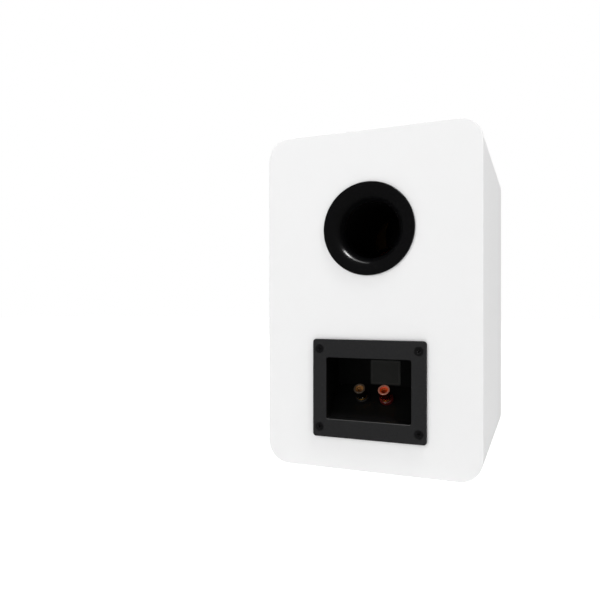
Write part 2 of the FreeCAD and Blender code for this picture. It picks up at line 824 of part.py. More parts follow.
def woofer_spider():
    """The corrugated cloth disc that centres the coil, glued on the basket's ledge."""
    height_0 = ledge_depth - basket_sheet - glue - spider_thickness
    inner = former_outer + slip
    flat_in = inner + 2
    flat_out = basket_ledge_inner - 0.5
    pitch = (flat_out - flat_in) / spider_waves
    front = [(inner, height_0), (flat_in, height_0)]
    back = [(inner, height_0 + spider_thickness), (flat_in, height_0 + spider_thickness)]
    for side, shift in ((front, 0), (back, spider_thickness)):
        for i in range(2 * spider_waves):
            through = (flat_in + (i + 0.5) * pitch / 2, height_0 + shift + spider_wave_height * (-1) ** (i + 1))
            side.append((through, (flat_in + (i + 1) * pitch / 2, height_0 + shift)))
        side.append((spider_radius, height_0 + shift))
    reverse = reverse_steps(back)
    return turned(woofer_place(), *(front + reverse))


def reverse_steps(steps):
    """The same outline steps, walked from the last point to the first."""
    ends = [s[1] if isinstance(s[0], tuple) else s for s in steps]
    walked = [ends[-1]]
    for i in range(len(steps) - 1, 0, -1):
        step = steps[i]
        walked.append((step[0], ends[i - 1]) if isinstance(step[0], tuple) else ends[i - 1])
    return walked


def woofer_motor():
    """The magnet system: top plate, ferrite ring, and a yoke with its vented pole."""
    place = woofer_place()
    gap_radius = former_outer + winding_thickness + gap_clearance
    plate_back = motor_depth + plate_thickness
    magnet_back = plate_back + magnet_thickness
    pole_radius = coil_radius - pole_clearance
    yoke = turned(
        place,
        (pole_vent_radius, motor_depth), (pole_radius, motor_depth), (pole_radius, magnet_back),
        (plate_radius, magnet_back), (plate_radius, magnet_back + plate_thickness),
        (pole_vent_radius, magnet_back + plate_thickness),
    )
    return {
        "woofer_top_plate": ring(place, gap_radius, plate_radius, motor_depth, plate_back),
        "woofer_magnet": ring(place, magnet_inner_radius, magnet_radius, plate_back, magnet_back),
        "woofer_yoke": yoke,
    }


def lug_places(middle):
    """The offsets of two solder lugs either side of a middle."""
    return (middle - lug_spacing / 2, middle + lug_spacing / 2)


def woofer_terminals():
    """The terminal strip on the basket's ledge with its two lugs, and the tinsel leads to the cone."""
    y0 = front_y + ledge_depth
    y1 = y0 + strip_thickness
    x1 = -basket_ledge_inner - basket_sheet - 1
    x0 = x1 - strip_length
    strip = block(x0, x1, y0, y1, woofer_z - strip_width / 2, woofer_z + strip_width / 2)
    leads = []
    cone_x = -lead_cone_radius
    for z in lug_places(woofer_z):
        lug = block(x0 - lug_length, x0 + 3, y1, y1 + lug_thickness, z - lug_width / 2, z + lug_width / 2)
        strip = strip.fuse(lug)
        cone_z = woofer_z + (z - woofer_z) * 0.8
        cone_y = front_y + cone_depth_at(math.hypot(cone_x, cone_z - woofer_z), cone_thickness) + 2 * lead_radius
        leads.append(round_tube([
            (x0 + 2, y0, z), (x0 + 2, y0 - 7, z), (cone_x - 16, y0 - 11, cone_z), (cone_x - 9, cone_y + 2, cone_z),
            (cone_x - 2, cone_y + 7, cone_z), (cone_x, cone_y, cone_z),
        ], lead_radius))
    return {"woofer_terminal_strip": strip.removeSplitter(), "woofer_tinsel_leads": group(leads)}


# ---------------------------------------------------------------- tweeter
def tweeter_place():
    """The tweeter's frame: local Z runs from the baffle's front face into the cabinet."""
    return seat(0, front_y, tweeter_z, V(0, 1, 0))


def tweeter_faceplate():
    """The round faceplate with a shallow horn, and a boss behind it for the magnet system."""
    mouth = horn_depth - face_proud
    clamp = face_boss_depth - dome_thickness - glue
    through = ((face_mouth_radius + horn_radius) / 2 + 1.6, mouth / 2 - face_proud / 2 + 0.7)
    rim = face_radius - edge_round
    plate = turned(
        tweeter_place(),
        (face_mouth_radius, mouth), (through, (horn_radius, -face_proud)),
        (rim, -face_proud), (face_radius, edge_round - face_proud), (face_radius, face_back),
        (face_boss_radius, face_back), (face_boss_radius, face_boss_depth),
        (tweeter_land + seat_gap, face_boss_depth), (tweeter_land + seat_gap, clamp), (face_mouth_radius, clamp),
    )
    for x, z in tweeter_screw_spots():
        plate = plate.cut(countersink(x, front_y - face_proud, z, V(0, 1, 0)))
    return plate


def tweeter_gasket_ring():
    """The foam ring under the faceplate's rim."""
    sealing = ring(tweeter_place(), tweeter_hole + 1, face_radius - 0.5, face_back, tweeter_seat)
    for x, z in tweeter_screw_spots():
        hole = rod(seat(x, front_y, z, V(0, 1, 0)), wood_screw_radius + seat_gap, 0, tweeter_seat + 1)
        sealing = sealing.cut(hole)
    return sealing


def tweeter_diaphragm():
    """The soft dome, its half-roll edge and its voice coil."""
    place = tweeter_place()
    base = face_boss_depth - dome_thickness
    crown = base - dome_height
    inner_base = dome_radius - dome_thickness
    dome = turned(
        place,
        (0, crown), (0, crown + dome_thickness),
        (arc_between(0, crown + dome_thickness, inner_base, base), (inner_base, base)), (dome_radius, base),
        (arc_between(0, crown, dome_radius, base), (0, crown)),
    )
    middle = tweeter_roll_inner + tweeter_roll_radius
    small = tweeter_roll_radius - dome_thickness
    low = face_boss_depth - screw_gap
    roll = turned(
        place,
        (tweeter_roll_inner, low), (tweeter_roll_inner, base), ((middle, base - tweeter_roll_radius),
                                                                 (tweeter_roll_outer, base)),
        (tweeter_land, base), (tweeter_land, low), (tweeter_roll_outer - dome_thickness, low),
        ((middle, low - small), (tweeter_roll_inner + dome_thickness, low)),
    )
    coil_top = base + glue
    coil = ring(place, tweeter_coil_radius - dome_thickness, tweeter_coil_radius, coil_top, coil_top + tweeter_coil_length)
    winding = ring(place, tweeter_coil_radius, tweeter_coil_outer, coil_top + 1.5, coil_top + tweeter_coil_length)
    return {"tweeter_dome": dome, "tweeter_surround": roll, "tweeter_voice_coil": coil.fuse(winding).removeSplitter()}


def tweeter_motor():
    """The tweeter's magnet system and the small terminal block on its back."""
    place = tweeter_place()
    gap = tweeter_coil_outer + gap_clearance
    plate_back = face_boss_depth + tweeter_plate_thickness
    magnet_back = plate_back + tweeter_magnet_thickness
    yoke_back = magnet_back + tweeter_yoke_thickness
    pole = tweeter_coil_radius - dome_thickness - pole_clearance
    yoke = turned(
        place,
        (0, face_boss_depth + 1), (pole, face_boss_depth + 1), (pole, magnet_back),
        (tweeter_plate_radius, magnet_back), (tweeter_plate_radius, yoke_back), (0, yoke_back),
    )
    y0 = front_y + yoke_back
    terminals = block(-8, 8, y0, y0 + 3, tweeter_z - 14, tweeter_z - 6)
    for x in lug_places(0):
        lug = block(x - lug_width / 2, x + lug_width / 2, y0 + 3, y0 + 3 + lug_length, tweeter_z - 10,
                    tweeter_z - 10 + lug_thickness)
        terminals = terminals.fuse(lug)
    return {
        "tweeter_top_plate": ring(place, gap, tweeter_plate_radius, face_boss_depth, plate_back),
        "tweeter_magnet": ring(place, tweeter_magnet_inner_radius, tweeter_magnet_radius, plate_back, magnet_back),
        "tweeter_yoke": yoke,
        "tweeter_terminals": terminals.removeSplitter(),
    }


def tweeter_screw_set():
    """The four screws that hold the faceplate, flush with its front."""
    face_y = front_y - face_proud
    return group([wood_screw(x, face_y, z, V(0, 1, 0)) for x, z in tweeter_screw_spots()])


# ---------------------------------------------------------------- crossover
def board_screw_spots():
    """Where the crossover board's screws sit, as (x, y)."""
    x = board_width / 2 - board_screw_inset
    ys = (board_front_y + board_screw_inset, board_front_y + board_length - board_screw_inset)
    return [(sx * x, y) for sx in (-1, 1) for y in ys]


def crossover():
    """The filter board on the bottom panel: inductors, capacitors, resistors, and screws with spacers."""
    half = board_width / 2
    board_rear_y = board_front_y + board_length
    board = block(-half, half, board_front_y, board_rear_y, board_z, board_top)
    fixings = []
    for x, y in board_screw_spots():
        up = seat(x, y, 0, V(0, 0, 1))
        board = board.cut(rod(up, board_screw_radius + slip, board_z - 1, board_top + 1))
        screw = rod(up, board_screw_radius, wall, board_top).fuse(
            rod(up, board_screw_head_radius, board_top, board_top + board_screw_head_height))
        fixings.append(screw.removeSplitter())
        fixings.append(ring(up, board_screw_radius + slip, spacer_radius, wall, board_z))
    bobbins, windings = [], []
    for x, y in inductor_spots:
        place = seat(x, y, board_top, V(0, 0, 1))
        top = inductor_height
        bobbins.append(turned(
            place,
            (bobbin_bore_radius, 0), (inductor_radius, 0), (inductor_radius, bobbin_flange),
            (bobbin_core_radius, bobbin_flange), (bobbin_core_radius, top - bobbin_flange),
            (inductor_radius, top - bobbin_flange), (inductor_radius, top), (bobbin_bore_radius, top),
        ))
        windings.append(ring(
            place, bobbin_core_radius + slip, inductor_radius - winding_inset, bobbin_flange + slip,
            top - bobbin_flange - slip,
        ))
    capacitors = []
    for x, y in capacitor_spots:
        place = seat(x, y, board_top + capacitor_radius, V(1, 0, 0))
        capacitors.append(rod(place, capacitor_radius, 0, capacitor_length))
    long_side, deep, tall = resistor_size
    resistors = [block(x, x + long_side, y, y + deep, board_top, board_top + tall) for x, y in resistor_spots]
    return {
        "crossover_board": board,
        "crossover_fixings": group(fixings),
        "inductor_bobbins": group(bobbins),
        "inductor_windings": group(windings),
        "crossover_capacitors": group(capacitors),
        "crossover_resistors": group(resistors),
    }


# ---------------------------------------------------------------- wiring
def wiring():
    """The loose insulated wires inside, positive and negative, each from its tab or lug to the board."""
    tab_low = -cup_wall - bushing_height - post_nut_height - tab_thickness
    lug_y = front_y + ledge_depth + strip_thickness + lug_thickness
    lug_x = -basket_ledge_inner - basket_sheet - 1 - strip_length - lug_length / 2
    tweeter_lug_y = front_y + face_boss_depth + tweeter_plate_thickness + tweeter_magnet_thickness
    tweeter_lug_y += tweeter_yoke_thickness + 3 + lug_length
    edge_x = board_width / 2 - landing_inset
    edge_y = board_front_y + board_length - landing_inset
    wires = {}
    for name, side in (("wires_positive", -1), ("wires_negative", 1)):
        place = post_place(side * post_spacing / 2)
        start = place.multVec(V(0, tab_length - 2 * wire_radius, tab_low))
        bend = start - ramp_out * 8
        to_posts = round_tube([
            tuple(start), tuple(bend), (side * 12, edge_y, board_top + 17), (side * 12, edge_y, board_top),
        ], wire_radius)
        z_lug = lug_places(woofer_z)[0 if side < 0 else 1]
        land_y = 5 + 3 * side
        to_woofer = round_tube([
            (lug_x, lug_y, z_lug), (lug_x, lug_y + 9, z_lug), (lug_x, -38, 56 + 4 * side),
            (lug_x + 5, land_y - 6, board_top + 16), (-edge_x, land_y, board_top + 13),
            (-edge_x, land_y, board_top),
        ], wire_radius)
        x_lug = lug_places(0)[0 if side < 0 else 1]
        lane = 3 * side
        to_tweeter = round_tube([
            (x_lug, tweeter_lug_y, tweeter_z - 9.6), (x_lug, tweeter_lug_y + 10, tweeter_z - 9.6),
            (42 + lane, -34 + lane, 178), (54 + lane, 2 + lane, 148), (57 + lane, 18 + lane, 104),
            (52 + lane, 20 + lane, board_top + 24), (edge_x, 17 + lane, board_top + 12),
            (edge_x, 17 + lane, board_top),
        ], wire_radius)
        wires[name] = group([to_posts, to_woofer, to_tweeter])
    return wires


# ---------------------------------------------------------------- assembly
def build():
    """Every node by name."""
    nodes = dict(cabinet_panels())
    nodes["front_baffle"] = front_baffle()
    nodes["rear_panel"] = rear_panel()
    nodes["wadding_pads"] = wadding_pads()
    nodes["port_flare"] = port_flare()
    nodes["port_tube"] = port_tube()
    nodes["terminal_cup"] = terminal_cup()
    nodes["terminal_gasket"] = terminal_gasket()
    nodes["terminal_screws"] = group([wood_screw(x, cup_face_y, z, V(0, -1, 0)) for x, z in cup_screw_spots()])
    nodes["rating_label"] = rating_label()
    for sign, x in zip(("positive", "negative"), post_spots()):
        nodes["post_shaft_" + sign] = post_shaft(x)
        nodes["post_collar_" + sign] = post_collar(x)
        nodes["clamp_washer_" + sign] = clamp_washer(x)
        nodes["cap_nut_" + sign] = cap_nut(x)
        nodes["cap_shell_" + sign] = cap_shell(x)
    nodes.update(post_inner_hardware())
    nodes["woofer_basket"] = woofer_basket()
    nodes["woofer_gasket"] = woofer_gasket_ring()
    nodes["woofer_trim_ring"] = woofer_trim_ring()
    nodes["woofer_screws"] = woofer_screw_set()
    nodes["woofer_surround"] = woofer_surround()
    nodes["woofer_cone"] = woofer_cone()
    nodes["woofer_dust_cap"] = woofer_dust_cap()
    nodes.update(woofer_coil())
    nodes["woofer_spider"] = woofer_spider()
    nodes.update(woofer_motor())
    nodes.update(woofer_terminals())
    nodes["tweeter_faceplate"] = tweeter_faceplate()
    nodes["tweeter_gasket"] = tweeter_gasket_ring()
    nodes["tweeter_screws"] = tweeter_screw_set()
    nodes.update(tweeter_diaphragm())
    nodes.update(tweeter_motor())
    nodes.update(crossover())
    nodes.update(wiring())
    return nodes


if __name__ == "__main__":
    os.makedirs("parts", exist_ok=True)
    for node, shape in build().items():
        shape.exportStep("parts/%s.step" % node)
        print(node, len(shape.Solids), shape.isValid(), round(shape.Volume, 1))
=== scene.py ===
"""A white two-way bookshelf speaker, seen from behind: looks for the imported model."""

import json
import math

import bmesh
import bpy
from mathutils import Matrix, Vector

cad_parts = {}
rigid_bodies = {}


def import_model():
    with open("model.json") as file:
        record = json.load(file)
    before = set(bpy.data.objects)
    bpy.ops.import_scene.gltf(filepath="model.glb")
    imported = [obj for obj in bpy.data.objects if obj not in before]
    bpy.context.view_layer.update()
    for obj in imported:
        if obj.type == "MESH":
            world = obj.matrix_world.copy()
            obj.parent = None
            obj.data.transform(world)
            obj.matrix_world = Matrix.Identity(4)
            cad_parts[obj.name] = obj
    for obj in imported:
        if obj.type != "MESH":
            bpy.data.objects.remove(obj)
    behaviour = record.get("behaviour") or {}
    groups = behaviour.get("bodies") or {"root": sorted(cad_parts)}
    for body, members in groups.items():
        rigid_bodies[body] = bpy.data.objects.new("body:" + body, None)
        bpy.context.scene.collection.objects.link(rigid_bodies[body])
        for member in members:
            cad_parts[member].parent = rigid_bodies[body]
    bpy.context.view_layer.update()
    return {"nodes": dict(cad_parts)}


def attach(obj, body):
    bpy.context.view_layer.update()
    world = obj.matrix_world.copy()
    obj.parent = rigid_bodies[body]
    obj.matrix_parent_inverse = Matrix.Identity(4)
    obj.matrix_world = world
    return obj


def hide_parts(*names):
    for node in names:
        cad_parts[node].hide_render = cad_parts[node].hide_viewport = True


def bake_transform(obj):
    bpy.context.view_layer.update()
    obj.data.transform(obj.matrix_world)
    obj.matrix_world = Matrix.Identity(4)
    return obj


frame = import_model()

MM = 0.001

# ------------------------------------------------------------------ sizes, in millimetres
REAR_Y = 101.5
FRONT_Y = -101.5
FRAME_FACE_Y = 104.0         # the terminal frame's face, which stands off the rear panel
CUP_Z = 64.3
CUP_SCREWS = [(sx * 39.75, CUP_Z + sz * 31.25) for sx in (-1, 1) for sz in (-1, 1)]
POST_X = {"positive": -10.0, "negative": 10.0}
POST_SEAT = (82.3, 54.6)     # where a post's axis meets the ramp, as (y, z)
RAMP_TILT = 42.0
POST_AXIS = (0, math.cos(math.radians(RAMP_TILT)), math.sin(math.radians(RAMP_TILT)))
POST_THREAD_PITCH = 0.8
WOOFER_Z = 86.0
TWEETER_Z = 207.0
CORNER_RADIUS = 18.0
HALF_WIDTH = 86.0
HEIGHT = 268.0
SCREW_HEAD_RADIUS = 3.6
SCREW_HEAD_DEPTH = 1.7
SCREW_LENGTH = 15.0
FLANGE_DEPTH = 2.8           # from the baffle's face back to the woofer's flange
FACEPLATE_PROUD = 1.5
WOOFER_SCREW_CIRCLE = 66.0
WOOFER_SCREW_FACE_Y = FRONT_Y + FLANGE_DEPTH - SCREW_HEAD_DEPTH - 0.05   # the heads stand on the flange
TWEETER_SCREW_CIRCLE = 38.6
WOOFER_BOARD_END_Y = FRONT_Y + 37.55     # where a terminal board ends and its lugs begin
TWEETER_BOARD_END_Y = FRONT_Y + 25.95
LABEL_MIDDLE = (-6.6, 75.24)
LABEL_SIZE = (25.0, 20.0)

# ------------------------------------------------------------------ colours that several finishes share
FACE_WHITE = "#f4f4f4"
FRAME_GREY = "#262627"
GOLD_COLOUR = "#e0ab52"
TIN_COLOUR = "#b9b6ae"


# ------------------------------------------------------------------ helpers for materials
def srgb(code):
    """An sRGB hex colour as linear RGBA."""
    parts = [int(code[i:i + 2], 16) / 255 for i in (1, 3, 5)]
    return [c / 12.92 if c <= 0.04045 else ((c + 0.055) / 1.055) ** 2.4 for c in parts] + [1.0]


def add(tree, kind, inputs=None, **settings):
    """Adds a node: settings are its own properties, inputs give sockets a value or another node's output."""
    made = tree.nodes.new(kind)
    for name, value in settings.items():
        setattr(made, name, value)
    for socket, value in (inputs or {}).items():
        if isinstance(value, bpy.types.NodeSocket):
            tree.links.new(value, made.inputs[socket])
        else:
            made.inputs[socket].default_value = value
    return made


def finish_named(name, colour, roughness, **sockets):
    """A material with one Principled shader, whose other sockets are given by name."""
    made = bpy.data.materials.new(name)
    made.use_nodes = True
    shader = made.node_tree.nodes["Principled BSDF"]
    shader.inputs["Base Color"].default_value = srgb(colour)
    shader.inputs["Roughness"].default_value = roughness
    for socket, value in sockets.items():
        shader.inputs[socket.replace("_", " ")].default_value = value
    made.diffuse_color = srgb(colour)
    return made, made.node_tree, shader


def grain(tree, size_mm, detail, roughness=0.5):
    """Noise whose cells are about size_mm across, on the piece's own place."""
    place = add(tree, "ShaderNodeTexCoord")
    return add(tree, "ShaderNodeTexNoise", {
        "Vector": place.outputs["Object"],
        "Scale": 1 / (size_mm * MM), "Detail": detail, "Roughness": roughness,
    })


def post_offset(tree, middle_x=0.0):
    """A point's place, in metres, from where the axis of the post at middle_x meets the ramp."""
    place = add(tree, "ShaderNodeTexCoord")
    seat = (middle_x * MM, POST_SEAT[0] * MM, POST_SEAT[1] * MM)
    offset = add(tree, "ShaderNodeVectorMath", {0: place.outputs["Object"], 1: seat}, operation="SUBTRACT")
    return offset.outputs["Vector"]


def post_height(tree):
    """How far out along a binding post's axis a point lies, from the ramp, in metres."""
    height = add(tree, "ShaderNodeVectorMath", {0: post_offset(tree), 1: POST_AXIS}, operation="DOT_PRODUCT")
    return height.outputs["Value"]


# ------------------------------------------------------------------ materials
def lacquered_fibreboard():
    """Fibreboard with a dead flat white coat outside, faintly orange-peeled, and raw tan board within."""
    coat_depth = 0.9
    made, tree, shader = finish_named("lacquered_fibreboard", FACE_WHITE, 0.5, Specular_IOR_Level=0.0)
    place = add(tree, "ShaderNodeTexCoord")
    centred = add(tree, "ShaderNodeMapping", {
        "Vector": place.outputs["Object"], "Location": (0, 0, -HEIGHT / 2 * MM),
    })
    sides = add(tree, "ShaderNodeVectorMath", {0: centred.outputs["Vector"]}, operation="ABSOLUTE")
    core = ((HALF_WIDTH - CORNER_RADIUS) * MM, 0, (HEIGHT / 2 - CORNER_RADIUS) * MM)
    past = add(tree, "ShaderNodeVectorMath", {0: sides.outputs["Vector"], 1: core}, operation="SUBTRACT")
    kept = add(tree, "ShaderNodeVectorMath", {0: past.outputs["Vector"], 1: (0, 0, 0)}, operation="MAXIMUM")
    flat = add(tree, "ShaderNodeVectorMath", {0: kept.outputs["Vector"], 1: (1, 0, 1)}, operation="MULTIPLY")
    reach = add(tree, "ShaderNodeVectorMath", {0: flat.outputs["Vector"]}, operation="LENGTH")
    round_skin = add(tree, "ShaderNodeMath", {
        0: reach.outputs["Value"], 1: (CORNER_RADIUS - coat_depth) * MM,
    }, operation="GREATER_THAN")
    axes = add(tree, "ShaderNodeSeparateXYZ", {"Vector": sides.outputs["Vector"]})
    end_skin = add(tree, "ShaderNodeMath", {
        0: axes.outputs["Y"], 1: (REAR_Y - coat_depth) * MM,
    }, operation="GREATER_THAN")
    skin = add(tree, "ShaderNodeMath", {
        0: round_skin.outputs["Value"], 1: end_skin.outputs["Value"],
    }, operation="MAXIMUM")
    fibres = grain(tree, 1.1, 4.0, 0.7)
    board = add(tree, "ShaderNodeMix", {
        "Factor": fibres.outputs["Fac"], 6: srgb("#9c7a52"), 7: srgb("#b8966a"),
    }, data_type="RGBA")
    colour = add(tree, "ShaderNodeMix", {
        "Factor": skin.outputs["Value"], 6: board.outputs[2], 7: srgb(FACE_WHITE),
    }, data_type="RGBA")
    tree.links.new(colour.outputs[2], shader.inputs["Base Color"])
    cloud = grain(tree, 45.0, 3.0)
    matt = add(tree, "ShaderNodeMapRange", {"Value": cloud.outputs["Fac"], "To Min": 0.62, "To Max": 0.72})
    rough = add(tree, "ShaderNodeMix", {
        "Factor": skin.outputs["Value"], 2: 0.85, 3: matt.outputs["Result"],
    }, data_type="FLOAT")
    tree.links.new(rough.outputs[0], shader.inputs["Roughness"])
    peel = grain(tree, 2.4, 1.5)
    relief = add(tree, "ShaderNodeMix", {
        "Factor": skin.outputs["Value"], 2: fibres.outputs["Fac"], 3: peel.outputs["Fac"],
    }, data_type="FLOAT")
    bump = add(tree, "ShaderNodeBump", {
        "Height": relief.outputs[0], "Strength": 0.10, "Distance": 0.10 * MM,
    })
    tree.links.new(bump.outputs["Normal"], shader.inputs["Normal"])
    return made


def gloss_abs():
    """Highly polished black ABS, as moulded: deep black with hardly any waviness."""
    made, tree, shader = finish_named("polished_black_abs", "#0b0b0c", 0.2)
    flow = grain(tree, 9.0, 1.0)
    bump = add(tree, "ShaderNodeBump", {
        "Height": flow.outputs["Fac"], "Strength": 0.05, "Distance": 0.20 * MM,
    })
    tree.links.new(bump.outputs["Normal"], shader.inputs["Normal"])
    return made


def terminal_abs():
    """One black ABS moulding: a matt spark-eroded frame, a black pocket deepened by painted shade, a smoother
    lower lip with a painted highlight.
    """
    lip_z, lip_half_height, lip_half_width = CUP_Z - 24.9, 1.4, 33.5
    grained, lip_roughness = 0.6, 0.25      # how rough the frame and its smoother lip are
    made, tree, shader = finish_named("spark_eroded_abs", FRAME_GREY, grained, Specular_IOR_Level=0.35)
    place = add(tree, "ShaderNodeTexCoord")
    axes = add(tree, "ShaderNodeSeparateXYZ", {"Vector": place.outputs["Object"]})
    face = add(tree, "ShaderNodeMapRange", {
        "Value": axes.outputs["Y"],
        "From Min": (FRAME_FACE_Y - 0.45) * MM, "From Max": (FRAME_FACE_Y - 0.05) * MM,
    })
    fine = grain(tree, 0.35, 3.0, 0.6)
    coarse = grain(tree, 1.6, 2.0)
    tone = add(tree, "ShaderNodeMapRange", {"Value": coarse.outputs["Fac"], "To Min": 0.7, "To Max": 1.3})
    frame_tone = add(tree, "ShaderNodeMix", {
        "Factor": 1.0, 6: srgb(FRAME_GREY), 7: tone.outputs["Result"],
    }, data_type="RGBA", blend_type="MULTIPLY")
    # below the frame's face the pocket is near black: the glossy moulding's own black, darkened further as
    # painted shade of the recess
    colour = add(tree, "ShaderNodeMix", {
        "Factor": face.outputs["Result"], 6: srgb("#060606"), 7: frame_tone.outputs[2],
    }, data_type="RGBA")
    # the lip is the rounded edge between the frame's face and the lower side of the opening; it is painted a
    # paler grey as a highlight
    band = add(tree, "ShaderNodeMath", {
        0: axes.outputs["Y"], 1: (FRAME_FACE_Y - 0.2) * MM, 2: 0.19 * MM,
    }, operation="COMPARE")
    low = add(tree, "ShaderNodeMath", {
        0: axes.outputs["Z"], 1: lip_z * MM, 2: lip_half_height * MM,
    }, operation="COMPARE")
    low_band = add(tree, "ShaderNodeMath", {
        0: band.outputs["Value"], 1: low.outputs["Value"],
    }, operation="MULTIPLY")
    across = add(tree, "ShaderNodeMath", {
        0: axes.outputs["X"], 1: 0.0, 2: lip_half_width * MM,
    }, operation="COMPARE")
    lip_highlight = add(tree, "ShaderNodeMath", {
        0: low_band.outputs["Value"], 1: across.outputs["Value"],
    }, operation="MULTIPLY")
    # the paler grey on the lip is a painted highlight
    with_painted_highlight = add(tree, "ShaderNodeMix", {
        "Factor": lip_highlight.outputs["Value"], 6: colour.outputs[2], 7: srgb("#5a5a5a"),
    }, data_type="RGBA")
    tree.links.new(with_painted_highlight.outputs[2], shader.inputs["Base Color"])
    rough = add(tree, "ShaderNodeMapRange", {
        "Value": lip_highlight.outputs["Value"], "To Min": grained, "To Max": lip_roughness,
    })
    tree.links.new(rough.outputs["Result"], shader.inputs["Roughness"])
    depth = add(tree, "ShaderNodeMath", {
        0: fine.outputs["Fac"], 1: face.outputs["Result"],
    }, operation="MULTIPLY")
    bump = add(tree, "ShaderNodeBump", {
        "Height": depth.outputs["Value"], "Strength": 0.6, "Distance": 0.12 * MM,
    })
    tree.links.new(bump.outputs["Normal"], shader.inputs["Normal"])
    return made


def satin_black(name, colour, roughness, grain_mm, height):
    """A black surface with a fine satin grain: moulded plastic or rubber, or oxide on steel."""
    made, tree, shader = finish_named(name, colour, roughness)
    fine = grain(tree, grain_mm, 3.0, 0.6)
    bump = add(tree, "ShaderNodeBump", {
        "Height": fine.outputs["Fac"], "Strength": height, "Distance": 0.10 * MM,
    })
    tree.links.new(bump.outputs["Normal"], shader.inputs["Normal"])
    return made


def stud_with_painted_socket(name, painted_bore_colour, middle_x):
    """Gold-plated brass of a stud whose plug socket gets a dull, darker, mostly non-metal colour: painted
    light and shade inside the bore, red on the positive post as painted glow from its red cap.
    """
    painted_radius, bright_radius = 2.2, 2.35
    made, tree, shader = finish_named(name, GOLD_COLOUR, 0.22, Metallic=1.0)
    across = add(tree, "ShaderNodeVectorMath", {
        0: post_offset(tree, middle_x), 1: POST_AXIS,
    }, operation="CROSS_PRODUCT")
    radius = add(tree, "ShaderNodeVectorMath", {0: across.outputs["Vector"]}, operation="LENGTH")
    bore = add(tree, "ShaderNodeMapRange", {
        "Value": radius.outputs["Value"],
        "From Min": painted_radius * MM, "From Max": bright_radius * MM, "To Min": 1.0, "To Max": 0.0,
    })
    # inside the socket the colour is painted light and shade, not the plating's own
    colour = add(tree, "ShaderNodeMix", {
        "Factor": bore.outputs["Result"], 6: srgb(GOLD_COLOUR), 7: srgb(painted_bore_colour),
    }, data_type="RGBA")
    tree.links.new(colour.outputs[2], shader.inputs["Base Color"])
    metal = add(tree, "ShaderNodeMapRange", {"Value": bore.outputs["Result"], "To Min": 1.0, "To Max": 0.15})
    tree.links.new(metal.outputs["Result"], shader.inputs["Metallic"])
    marks = grain(tree, 0.7, 2.0)
    plated = add(tree, "ShaderNodeMapRange", {"Value": marks.outputs["Fac"], "To Min": 0.16, "To Max": 0.32})
    rough = add(tree, "ShaderNodeMix", {
        "Factor": bore.outputs["Result"], 2: plated.outputs["Result"], 3: 0.5,
    }, data_type="FLOAT")
    tree.links.new(rough.outputs[0], shader.inputs["Roughness"])
    return made


def gold_plate():
    """Gold plate over turned brass: warm and bright, with a faint unevenness left by the turning."""
    made, tree, shader = finish_named("gold_plated_brass", GOLD_COLOUR, 0.22, Metallic=1.0)
    marks = grain(tree, 0.7, 2.0)
    rough = add(tree, "ShaderNodeMapRange", {"Value": marks.outputs["Fac"], "To Min": 0.16, "To Max": 0.32})
    tree.links.new(rough.outputs["Result"], shader.inputs["Roughness"])
    bump = add(tree, "ShaderNodeBump", {
        "Height": marks.outputs["Fac"], "Strength": 0.12, "Distance": 0.05 * MM,
    })
    tree.links.new(bump.outputs["Normal"], shader.inputs["Normal"])
    return made


def clear_polycarbonate(name, tint, frosted):
    """Clear tinted polycarbonate: glossy see-through sides, and an end that scatters the light it pipes."""
    clear_below, frosted_above = 13.2, 13.6
    made, tree, shader = finish_named(name, tint, 0.14, IOR=1.58)
    end = add(tree, "ShaderNodeMapRange", {
        "Value": post_height(tree), "From Min": clear_below * MM, "From Max": frosted_above * MM,
    })
    colour = add(tree, "ShaderNodeMix", {
        "Factor": end.outputs["Result"], 6: srgb(tint), 7: srgb(frosted),
    }, data_type="RGBA")
    tree.links.new(colour.outputs[2], shader.inputs["Base Color"])
    clear = add(tree, "ShaderNodeMapRange", {"Value": end.outputs["Result"], "To Min": 0.97, "To Max": 0.2})
    tree.links.new(clear.outputs["Result"], shader.inputs["Transmission Weight"])
    rough = add(tree, "ShaderNodeMapRange", {"Value": end.outputs["Result"], "To Min": 0.12, "To Max": 0.3})
    tree.links.new(rough.outputs["Result"], shader.inputs["Roughness"])
    ripple = grain(tree, 1.2, 1.0)
    bump = add(tree, "ShaderNodeBump", {
        "Height": ripple.outputs["Fac"], "Strength": 0.06, "Distance": 0.10 * MM,
    })
    tree.links.new(bump.outputs["Normal"], shader.inputs["Normal"])
    return made


def colour_ended_nut(name, end_colour, metal_share):
    """Gold-plated brass whose outer end is coloured to mark the post."""
    coloured_above = 11.5
    made, tree, shader = finish_named(name, GOLD_COLOUR, 0.3)
    end = add(tree, "ShaderNodeMath", {
        0: post_height(tree), 1: coloured_above * MM,
    }, operation="GREATER_THAN")
    colour = add(tree, "ShaderNodeMix", {
        "Factor": end.outputs["Value"], 6: srgb(GOLD_COLOUR), 7: srgb(end_colour),
    }, data_type="RGBA")
    tree.links.new(colour.outputs[2], shader.inputs["Base Color"])
    metal = add(tree, "ShaderNodeMapRange", {
        "Value": end.outputs["Value"], "To Min": 1.0, "To Max": metal_share,
    })
    tree.links.new(metal.outputs["Result"], shader.inputs["Metallic"])
    marks = grain(tree, 0.7, 2.0)
    rough = add(tree, "ShaderNodeMapRange", {"Value": marks.outputs["Fac"], "To Min": 0.24, "To Max": 0.42})
    tree.links.new(rough.outputs["Result"], shader.inputs["Roughness"])
    return made


